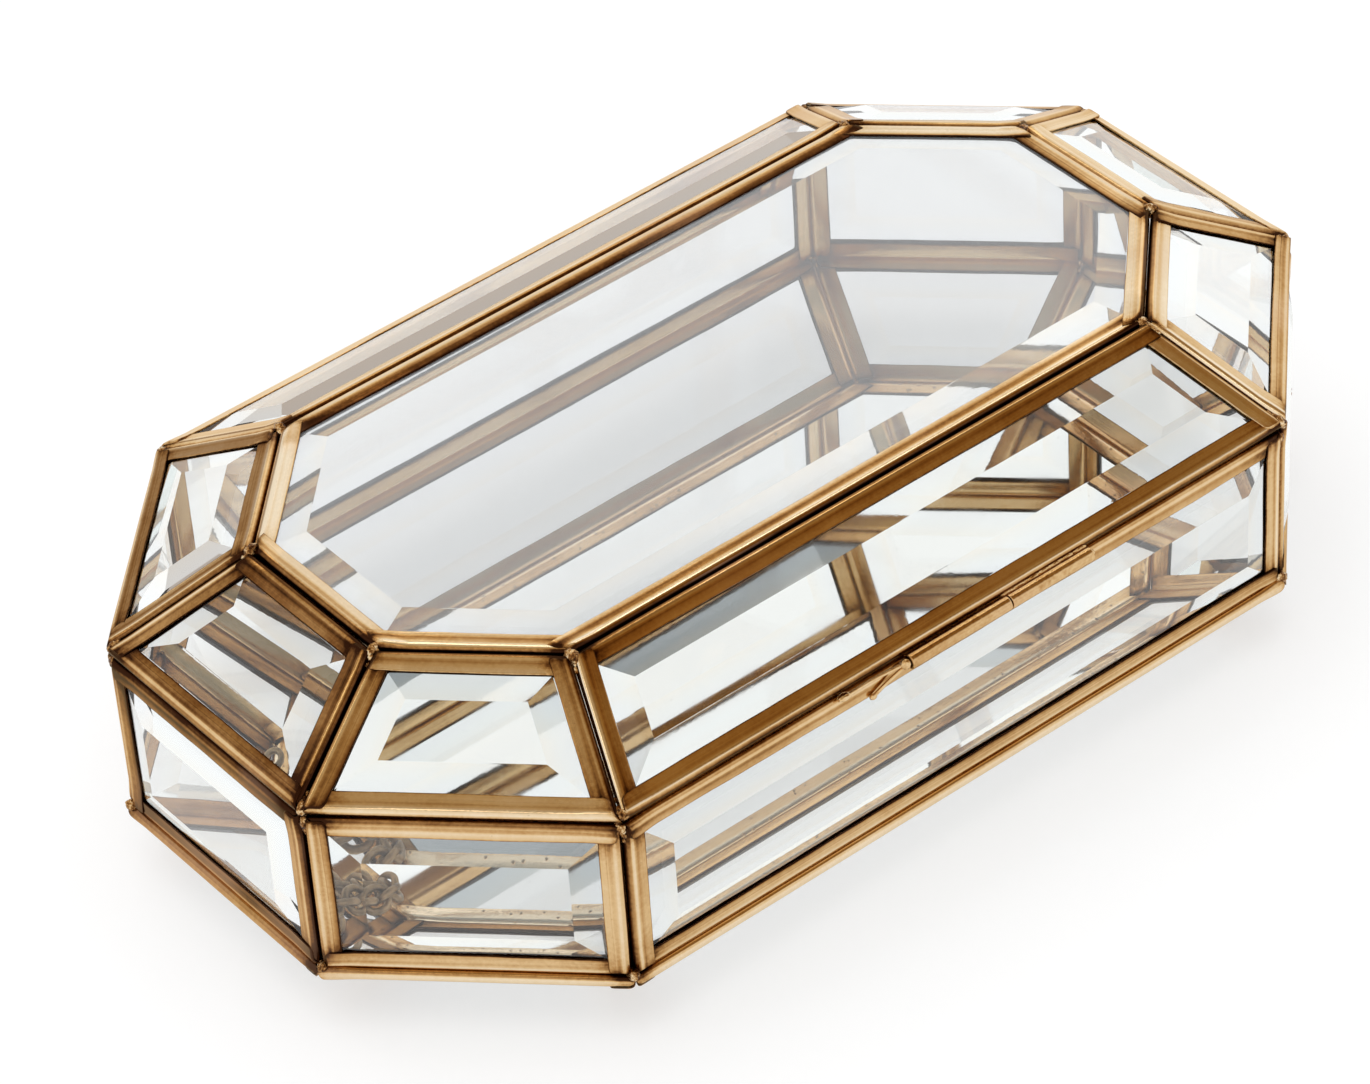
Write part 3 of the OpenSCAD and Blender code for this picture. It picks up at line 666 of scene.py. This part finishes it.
class Tree:
    """Short words for building a node tree."""

    def __init__(self, owner):
        """Starts a new material of that name, or empties the tree of a world."""
        self.material = bpy.data.materials.new(owner) if isinstance(owner, str) else owner
        self.material.use_nodes = True
        self.nodes, self.links = self.material.node_tree.nodes, self.material.node_tree.links
        self.nodes.clear()
        self.output = self.nodes.new("ShaderNodeOutputMaterial" if isinstance(owner, str) else "ShaderNodeOutputWorld")

    def put(self, socket, value):
        """Gives a socket another node's output, or a number or colour of its own."""
        if isinstance(value, bpy.types.NodeSocket):
            self.links.new(value, socket)
        else:
            socket.default_value = value

    def node(self, kind, settings=None, **inputs):
        """Adds a node. An input goes by its name, or by i and its number where names repeat."""
        n = self.nodes.new("ShaderNode" + kind)
        for key, value in (settings or {}).items():
            setattr(n, key, value)
        for key, value in inputs.items():
            self.put(n.inputs[int(key[1:]) if key[0] == "i" and key[1:].isdigit() else key.replace("_", " ")], value)
        return n

    def ramp(self, fac, *stops):
        """Colour ramp with stops of a position and a colour."""
        n = self.nodes.new("ShaderNodeValToRGB")
        self.links.new(fac, n.inputs[0])
        while len(n.color_ramp.elements) < len(stops):
            n.color_ramp.elements.new(0.5)
        for e, (position, colour) in zip(n.color_ramp.elements, stops):
            e.position, e.color = position, (*colour, 1)
        return n.outputs[0]

    def mix(self, fac, a, b, blend="MIX"):
        """Mixes two colours."""
        n = self.nodes.new("ShaderNodeMix")
        n.data_type, n.blend_type = "RGBA", blend
        for socket, value in ((n.inputs[0], fac), (n.inputs[6], a), (n.inputs[7], b)):
            self.put(socket, (*value, 1) if isinstance(value, tuple) else value)
        return n.outputs[2]

    def math(self, op, a, b):
        """One step of arithmetic."""
        n = self.nodes.new("ShaderNodeMath")
        n.operation = op
        self.put(n.inputs[0], a)
        self.put(n.inputs[1], b)
        return n.outputs[0]

    def add(self, total, *others):
        for other in others:
            total = self.math("ADD", total, other)
        return total

    def times(self, a, b):
        return self.math("MULTIPLY", a, b)

    def minus(self, a, b):
        return self.math("SUBTRACT", a, b)

    def noise(self, vector, scale, detail=3.0, rough=0.6):
        """Cloudy noise."""
        return self.node("TexNoise", Vector=vector, Scale=scale, Detail=detail, Roughness=rough).outputs[0]

    def between(self, value, low, high, to_low=0.0, to_high=1.0):
        """Maps a range onto another and clamps it."""
        return self.node("MapRange", i0=value, i1=low, i2=high, i3=to_low, i4=to_high).outputs[0]

    def spread(self, noise, most, middle=0.0):
        """Maps the values that most of a noise has to a range round a middle."""
        return self.between(noise, 0.25, 0.75, middle - most, middle + most)

    def place(self):
        """The point on the object."""
        return self.node("TexCoord").outputs["Object"]

    def stretched(self, vector, scale):
        return self.node("Mapping", i0=vector, i3=scale).outputs[0]

    def attribute(self, name):
        return self.node("Attribute", {"attribute_name": name}).outputs["Fac"]

    def dot(self, vector, direction):
        return self.node("VectorMath", {"operation": "DOT_PRODUCT"}, i0=vector, i1=direction).outputs["Value"]

    def bump(self, height, strength, distance):
        return self.node("Bump", Strength=strength, Distance=distance, Height=height).outputs[0]

    def metal(self, colour, rough, **inputs):
        """Finishes a material with a metal shader."""
        return self.finish(self.node("BsdfPrincipled", Base_Color=colour, Roughness=rough, **inputs).outputs[0])

    def finish(self, shader):
        """Links the last shader to the output."""
        self.links.new(shader, self.output.inputs[0])
        return self.material


def brass_colour(t, tone):
    """Colour of brass by its tone, which holds tarnish and painted light and shade, from black-brown at -1 through
    amber and gold to cream at 1.
    """
    f = bpy.context.scene.brass_finish
    stops = ((0.04, f.patina), (0.20, f.brown), (0.36, f.amber), (0.52, f.gold), (0.92, f.cream))
    return t.ramp(t.between(tone, -1.0, 1.0), *stops)


def aged_brass(name, worn=0.0, strips=True, pitted=0.0):
    """Hand-finished satin brass: each strip's own tone, with its painted reflections, highlights and shade, long
    streaks and soft clouds of tarnish, pinkish flux stains, fine lines along the strip, black-brown tarnish with
    painted shade in the folds, at the lips and inside the channels, dark grime at the laps, and a few specks. Worn
    brass is paler, and pitted brass has wrinkles and dark pits."""
    f = bpy.context.scene.brass_finish
    t = Tree(name)
    place = t.place()
    clouds, mottling = t.noise(place, 45.0, 3.0, 0.55), t.noise(place, 380.0)
    stains, grain = t.noise(place, 26.0, 2.0, 0.5), t.noise(place, 1300.0)
    if strips:
        along = t.node("UVMap", {"uv_map": "strip"}).outputs[0]
        lines = t.noise(t.stretched(along, (22.0, 2600.0, 1.0)), 1.0)
        streaks = t.noise(t.stretched(along, (9.0, 900.0, 1.0)), 1.0, 3.0, 0.55)
        # The strip's tone holds tarnish with painted reflections, highlights and shade.
        patina, tone = t.attribute("patina"), t.attribute("tone")
    else:
        lines, streaks, tone = grain, t.noise(place, 240.0), -0.1
        patina = t.between(streaks, 0.5, 0.8, 0.0, 0.5)
    # The dark share holds grime and scorching, and painted shade in the folds, along the lips and inside the channels.
    dirt_and_shade = t.times(patina, t.between(grain, 0.2, 0.7, 1.15, 0.75))
    dirt_and_shade = t.times(dirt_and_shade, t.between(streaks, 0.3, 0.7, 1.15, 0.7))
    tone = t.add(tone, t.spread(streaks, 0.07), t.spread(clouds, 0.20, worn), t.spread(lines, 0.05),
                 t.spread(mottling, 0.05), t.spread(grain, 0.07))
    colour = brass_colour(t, t.minus(tone, t.times(dirt_and_shade, 1.55)))
    stained = t.times(t.between(stains, 0.58, 0.72, 0.0, 0.35), t.minus(1.0, patina))
    colour = t.mix(stained, colour, tuple(f.copper))
    specks = t.between(t.noise(place, 2100.0, 2.0, 0.6), 0.72, 0.76, 0.0, 0.55)
    colour = t.mix(specks, colour, tuple(f.brown))
    rough = t.add(t.between(t.add(grain, lines), 0.7, 1.3, 0.08, 0.17), t.times(dirt_and_shade, 0.22))
    height = t.add(t.times(lines, 0.5), t.times(grain, 0.5), t.times(streaks, 0.9))
    if pitted:
        pits = t.node("TexVoronoi", Vector=place, Scale=520.0).outputs[0]
        height = t.add(height, t.times(t.noise(place, 330.0), 2.5 * pitted))
        height = t.minus(height, t.between(pits, 0.10, 0.22, 3.0 * pitted, 0.0))
        colour = t.mix(t.between(pits, 0.08, 0.2, 0.7 * pitted, 0.0), colour, tuple(f.brown))
    bump = t.bump(height, 0.35, 0.08 * MM)
    return t.metal(colour, rough, Metallic=1.0, Normal=bump, Specular_Tint=(*f.edge, 1))


def solder_metal():
    """Crumpled solder toned to brass: bright gold crests over black-brown hollows."""
    f = bpy.context.scene.brass_finish
    t = Tree("Toned solder")
    place = t.place()
    fine = t.noise(place, 2400.0)
    both = t.add(t.times(t.noise(place, 520.0, 4.0, 0.65), 0.7), t.times(fine, 0.3))
    colour = t.ramp(both, (0.40, f.patina), (0.47, f.brown), (0.53, f.amber), (0.60, f.solder), (0.68, f.cream))
    rough = t.between(fine, 0.3, 0.7, 0.14, 0.36)
    return t.metal(colour, rough, Metallic=1.0, Normal=t.bump(both, 0.9, 0.4 * MM))


def dark_bronze():
    """Antique finish of the chain and its eyes, in soft random patches from half as bright to half again as bright."""
    bronze = bpy.context.scene.brass_finish.bronze
    t = Tree("Antique bronze")
    place = t.place()
    fine = t.noise(place, 1900.0)
    stops = [(at, [c * share for c in bronze]) for at, share in ((0.3, 0.5), (0.5, 1.0), (0.72, 1.5))]
    colour = t.ramp(t.noise(place, 260.0, 3.0, 0.55), *stops)
    rough = t.between(fine, 0.3, 0.7, 0.34, 0.5)
    return t.metal(colour, rough, Metallic=1.0, Normal=t.bump(fine, 0.25, 0.08 * MM))


def pane_glass(pane):
    """Clear glass of one pane. The height over the pane's own plane tells its parts apart: the polished flats, and the
    bevels between them, which are ground a little duller and greyer and carry faint painted rainbow colours, as of
    light split by the bevel. The top pane is a little hazy."""
    g = bpy.context.scene.glass_finish
    hazy = pane.name == "lid_top"
    t = Tree(f"Glass {pane.name}")
    place = t.place()
    over = t.dot(place, tuple(float(v) for v in pane.matrix[:, 2]))
    over = t.minus(over, float(pane.origin @ pane.matrix[:, 2]))
    bevel = t.times(t.between(over, *BEVEL_START), t.between(over, *BEVEL_END, 1.0, 0.0))
    uneven, ground = t.noise(place, 22.0, 1.0, 0.4), t.noise(place, 900.0, 2.0, 0.5)
    smear = t.noise(place, 70.0, 4.0, 0.6)
    bump = t.bump(t.add(uneven, t.times(bevel, t.times(ground, 0.05))), 0.10, 0.4 * MM)
    rough = t.add(t.between(smear, 0.55, 0.8, 0.0, 0.015), t.times(bevel, g.bevel_roughness))
    # Painted rainbow of split light: bluish where a bevel begins, yellowish where it ends.
    fringe = t.ramp(t.between(over, 0.86 * MM, 2.13 * MM),
                    (0.0, (0.90, 0.93, 0.97)), (0.5, g.bevel_tint), (1.0, (0.97, 0.94, 0.88)))
    colour = t.mix(bevel, tuple(g.haze if hazy else g.tint), fringe)
    glass = t.node("BsdfPrincipled", Base_Color=colour, Roughness=rough, Normal=bump, IOR=1.5,
                   Transmission_Weight=0.88 if hazy else 1.0)
    through = t.node("BsdfTransparent", Color=(0.93, 0.95, 0.945, 1))
    ray = t.node("LightPath")
    # Light that is thrown back and forth inside a bevel leaves it after the third time.
    passing = t.math("MAXIMUM", ray.outputs["Is Shadow Ray"], t.math("GREATER_THAN", ray.outputs["Glossy Depth"], 2.5))
    return t.finish(t.node("MixShader", i0=passing, i1=glass.outputs[0], i2=through.outputs[0]).outputs[0])


def silvered_mirror():
    """Mirror face with faint dust over painted backing."""
    g = bpy.context.scene.glass_finish
    t = Tree("Silvered mirror")
    place = t.place()
    face = t.between(t.node("SeparateXYZ", i0=place).outputs[2], *MIRROR_FACE)
    dust, haze = t.noise(place, 1500.0, 2.0, 0.6), t.noise(place, 60.0, 3.0, 0.5)
    silver = t.mix(t.between(dust, 0.66, 0.75, 0.0, 0.35), tuple(g.silver), (0.6, 0.6, 0.58))
    rough = t.add(t.between(haze, 0.4, 0.7, 0.015, 0.05), t.times(t.minus(1.0, face), 0.5))
    return t.metal(t.mix(face, tuple(g.backing), silver), rough, Metallic=face)


def white_sweep(s):
    """White floor that keeps the box's shadow. Dull surfaces get less light back from it."""
    t = Tree("White sweep")
    rays = t.node("LightPath").outputs
    seen = t.math("MAXIMUM", rays["Is Glossy Ray"], rays["Is Transmission Ray"])
    seen = t.math("MAXIMUM", rays["Is Camera Ray"], seen)
    dull = t.node("BsdfDiffuse", Color=t.mix(seen, (s.bounce,) * 3, WHITE)).outputs[0]
    glow = t.node("Emission", Color=(*WHITE, 1)).outputs[0]
    return t.finish(t.node("MixShader", i0=t.times(seen, 1.0 - s.shade), i1=dull, i2=glow).outputs[0])


def studio_room(s):
    """World of the studio. Metal sees a white room under an amber ceiling with a ring of lamps: darker over the hinge
    side, with a dim screen beyond the left end and a brighter window beyond the box. Glass sees the same room in
    neutral greys, dull surfaces see one even light, and the camera sees white."""
    world = bpy.data.worlds.new("Studio")
    world.use_nodes = True
    t = Tree(world)
    way = t.node("TexCoord").outputs["Generated"]
    up = t.node("SeparateXYZ", i0=way).outputs[2]

    def patch(middle, *span):
        return t.between(t.dot(way, middle), *span)

    beams = t.between(t.noise(way, 5.0, 2.0, 0.5), 0.35, 0.65)
    ceiling = t.mix(beams, (0.44, 0.35, 0.23), (0.66, 0.55, 0.39))
    room = t.mix(t.between(up, 0.665, 0.715), WHITE, ceiling)
    strip_lamps = t.ramp(up, (0.795, BLACK), (0.805, WHITE), (0.84, WHITE), (0.85, BLACK))
    room = t.mix(strip_lamps, room, (2.1, 1.95, 1.65))
    hinge_side = t.mix(beams, (0.20, 0.11, 0.035), (0.36, 0.21, 0.07))
    room = t.mix(patch((-0.46, 0.23, 0.86), 0.86, 0.965), room, hinge_side)
    room = t.mix(patch((-0.11, -0.96, 0.24), 0.93, 0.975), room, (0.44, 0.36, 0.30))
    window = t.times(patch((-0.46, -0.61, 0.64), 0.88, 0.94),
                     patch((-0.12, 0.761, 0.637), -0.03, 0.04, -0.08, 0.35))
    bright = t.add(window, s.surroundings)
    room = t.mix(1.0, room, t.node("CombineXYZ", i0=bright, i1=bright, i2=bright).outputs[0], "MULTIPLY")
    clear = t.ramp(up, (0.73, WHITE), (0.78, (0.60, 0.64, 0.66)),
                   (0.83, (0.20, 0.23, 0.25)), (0.97, (0.30, 0.33, 0.36)))
    clear = t.mix(1.0, clear, (1.08, 1.08, 1.08), "MULTIPLY")
    rays = t.node("LightPath").outputs
    colour = t.mix(rays["Is Glossy Ray"], (s.ambient,) * 3, room)
    colour = t.mix(rays["Is Transmission Ray"], colour, clear)
    colour = t.mix(rays["Is Camera Ray"], colour, WHITE)
    t.finish(t.node("Background", Color=colour).outputs[0])
    return world


def wear(obj, material):
    """Gives an object one material."""
    obj.data.materials.clear()
    obj.data.materials.append(material)


def body_of(node):
    return "lid" if node.startswith("lid_") else "base"


# -------- pieces

class JEWELRY_OT_channels(bpy.types.Operator):
    """Folded brass channels round all 26 panes, one piece per pane"""
    bl_idname = "jewelry.channels"
    bl_label = "Brass channels"

    def execute(self, context):
        brass = {
            "lid": aged_brass("Lid brass"), "wall": aged_brass("Wall brass", 0.04),
            "foot": aged_brass("Foot brass", 0.05), "base": aged_brass("Floor brass", 0.10, pitted=1.0),
        }
        rng = np.random.default_rng(context.scene.channel_sizes.seed)
        for pane in all_panes():
            shells = Shells()
            reverse = bool(rng.integers(2))
            for i in range(len(pane.folds)):
                channel_strip(shells, pane, i, rng, reverse)
            piece = shells.build(f"{pane.name}_channel")
            wear(piece, brass[pane.name.split("_")[0]])
            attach(piece, body_of(pane.name))
            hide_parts(f"{pane.name}_frame")
        return {"FINISHED"}


class JEWELRY_OT_glass(bpy.types.Operator):
    """Clear glass on the 25 bevelled panes and silver on the mirror floor"""
    bl_idname = "jewelry.glass"
    bl_label = "Glass and mirror"

    def execute(self, context):
        for pane in all_panes():
            if pane.name != "base_mirror":
                wear(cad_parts[f"{pane.name}_glass"], pane_glass(pane))
        wear(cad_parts["base_mirror"], silvered_mirror())
        return {"FINISHED"}


class JEWELRY_OT_solder(bpy.types.Operator):
    """Lumps and short runs of solder at every corner"""
    bl_idname = "jewelry.solder"
    bl_label = "Solder joints"

    def execute(self, context):
        b, z = context.scene.box_sizes, levels()
        metal = solder_metal()
        rng = np.random.default_rng(context.scene.channel_sizes.seed + 1)
        # Eight corners at a level, as plan and height: where the lumps sit, where their run points to, and their size.
        rim, inner, ledge = (corners(octagon(inset)) for inset in (0, b.inset, -b.ledge / 2))
        top, lid_rim, wall_rim, wall = (inner, z["top"]), (rim, z["lid_rim"]), (rim, z["wall_rim"]), (rim, z["wall"])
        foot_top, floor = (ledge, (z["ledge"] + z["wall"]) / 2), (inner, b.floor_level)
        for name, rows in (
            ("lid_solder", ((top, lid_rim, 1.0), (lid_rim, top, 0.85))),
            ("base_solder", ((wall_rim, wall, 0.8), (foot_top, floor, 1.05), (floor, wall, 0.75))),
        ):
            shells = Shells()
            for (points, level), (ends, end_level), size in rows:
                for k in range(8):
                    corner_lumps(shells, [*points[k], level], [*ends[k], end_level], size, rng)
            piece = welded(shells.build(name + "_joints", 80))
            wear(piece, metal)
            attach(piece, body_of(name))
            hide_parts(name)
        return {"FINISHED"}


class JEWELRY_OT_hinge(bpy.types.Operator):
    """Two thin tubes soldered to the rims, and the wire through them with its ends drawn out and soldered down"""
    bl_idname = "jewelry.hinge"
    bl_label = "Hinge"

    def execute(self, context):
        h = context.scene.hinge_sizes
        rng = np.random.default_rng(context.scene.channel_sizes.seed + 3)
        brass = aged_brass("Tube brass", strips=False)
        seam, half_width = levels()["seam"], context.scene.box_sizes.width / 2
        lid_end, wall_end = h.meet_x - h.gap - h.lid_tube, h.meet_x + h.wall_tube
        for name, x0, x1, rim_side in (
            ("lid_hinge_tube", lid_end, h.meet_x - h.gap, 1), ("wall_hinge_tube", h.meet_x, wall_end, -1),
        ):
            shells = Shells()
            hinge_tube(shells, x0, x1, rim_side, rng)
            piece = welded(shells.build(name + "_rolled", 50))
            wear(piece, brass)
            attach(piece, body_of(name))
            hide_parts(name)

        def beside(*points):
            """Points in millimetres past the wall tube's end, behind the wall and below the seam."""
            return [np.array([wall_end + x * MM, half_width + y * MM, seam - down * MM]) for x, y, down in points]

        shells = Shells()
        wire(shells, [[x, h.line_y, seam] for x in (lid_end - h.gap, h.meet_x, wall_end + h.gap)], h.wire_radius)
        wire(shells, beside((0.2, 2.6, 0.0), (3.0, 2.1, 0.2), (7.0, 1.9, 0.0), (10.5, 2.0, -0.2), (14.2, 1.9, 0.1)),
             h.strand_radius)
        wire(shells, beside((0.3, 2.6, 0.3), (2.6, 2.3, 1.4), (5.0, 1.9, 2.7), (7.6, 1.75, 4.0)), h.strand_radius)
        sizes = np.array([[1.25, 1.0, 1.05], [0.75, 0.55, 0.6], [1.6, 0.8, 0.7]]) * MM
        lumps(shells, beside((0.7, 2.6, 0.1), (7.9, 1.8, 4.1), (14.6, 1.7, 0.2)), np.eye(3), sizes, rng, 0.16)
        piece = welded(shells.build("hinge_wire", 80))
        wear(piece, aged_brass("Wire brass", 0.25, strips=False))
        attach(piece, "base")
        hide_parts("hinge_pin")
        return {"FINISHED"}


class JEWELRY_OT_chain(bpy.types.Operator):
    """Links of the stay chain, and the finish of its two eyes"""
    bl_idname = "jewelry.chain"
    bl_label = "Stay chain"

    def execute(self, context):
        bronze = dark_bronze()
        for name in ("wall_chain_eye", "lid_chain_eye"):
            wear(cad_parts[name], bronze)
        shells = Shells()
        rng = np.random.default_rng(context.scene.channel_sizes.seed + 2)
        for points in shells_of(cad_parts["stay_chain"]):
            centre = points.mean(0)
            chain_link(shells, centre, np.linalg.svd(points - centre, full_matrices=False)[2], rng)
        piece = shells.build("stay_chain_links", 80)
        wear(piece, bronze)
        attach(piece, "base")
        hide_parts("stay_chain")
        return {"FINISHED"}


class JEWELRY_OT_studio(bpy.types.Operator):
    """White floor and surroundings, soft overhead light and the camera"""
    bl_idname = "jewelry.studio"
    bl_label = "Studio"

    def execute(self, context):
        s, scene = context.scene.studio_settings, context.scene
        r = 4.0
        mesh = bpy.data.meshes.new("floor")
        mesh.from_pydata([(-r, -r, 0), (r, -r, 0), (r, r, 0), (-r, r, 0)], [], [(0, 1, 2, 3)])
        mesh.materials.append(white_sweep(s))
        floor = bpy.data.objects.new("floor", mesh)
        scene.collection.objects.link(floor)
        scene.world = studio_room(s)

        sun = bpy.data.lights.new("overhead", "SUN")
        sun.energy = s.overhead
        sun.angle = math.radians(70)
        lamp = bpy.data.objects.new("overhead", sun)
        lamp.rotation_euler = (math.radians(14), math.radians(10), 0)
        lamp.visible_glossy = False
        lamp.visible_transmission = False
        scene.collection.objects.link(lamp)

        cam = bpy.data.cameras.new("camera")
        cam.sensor_fit, cam.sensor_width, cam.lens = "HORIZONTAL", 36.0, s.lens
        cam.clip_start, cam.clip_end = 0.05, 50.0
        view = bpy.data.objects.new("camera", cam)
        right = np.array([-0.7704638046181608, 0.6352530693623947, -0.053282864402781356])
        up = np.array([-0.44153941222253923, -0.4714898393446258, 0.7633742718018164])
        at = np.array([0.5097521507592642, 0.6651954215731881, 0.733090243946436])
        m = np.eye(4)
        m[:3] = np.stack([right, up, np.cross(right, up), at], 1)
        view.matrix_world = Matrix(m.tolist())
        scene.collection.objects.link(view)
        scene.camera = view
        scene.view_settings.view_transform = "Standard"
        return {"FINISHED"}


class JEWELRY_PT_panel(bpy.types.Panel):
    """Sidebar panel with the box's sizes and pieces"""
    bl_label = "Jewelry Box"
    bl_idname = "JEWELRY_PT_panel"
    bl_space_type = "VIEW_3D"
    bl_region_type = "UI"
    bl_category = "Jewelry Box"

    def draw(self, context):
        column = self.layout.column()
        for group in PROPERTY_HOLDERS:
            column.label(text=group.replace("_", " ").capitalize())
            values = getattr(context.scene, group)
            for key in values.bl_rna.properties.keys():
                if key not in ("rna_type", "name"):
                    column.prop(values, key)
        for step in OPERATORS:
            column.operator(step.bl_idname)


PROPERTY_HOLDERS = {
    "box_sizes": BoxSizes,
    "channel_sizes": ChannelSizes,
    "brass_finish": BrassFinish,
    "glass_finish": GlassFinish,
    "hinge_sizes": HingeSizes,
    "chain_sizes": ChainSizes,
    "studio_settings": StudioSettings,
}
OPERATORS = (
    JEWELRY_OT_channels, JEWELRY_OT_glass, JEWELRY_OT_solder, JEWELRY_OT_hinge, JEWELRY_OT_chain, JEWELRY_OT_studio,
)


def register():
    for cls in (*PROPERTY_HOLDERS.values(), *OPERATORS, JEWELRY_PT_panel):
        bpy.utils.register_class(cls)
    for name, group in PROPERTY_HOLDERS.items():
        setattr(bpy.types.Scene, name, PointerProperty(type=group))


def unregister():
    for name in PROPERTY_HOLDERS:
        delattr(bpy.types.Scene, name)
    for cls in (JEWELRY_PT_panel, *reversed(OPERATORS), *reversed(PROPERTY_HOLDERS.values())):
        bpy.utils.unregister_class(cls)


def main():
    """Registers the add-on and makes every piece."""
    register()
    for step in OPERATORS:
        group, name = step.bl_idname.split(".")
        getattr(getattr(bpy.ops, group), name)()


if __name__ == "__main__":
    main()
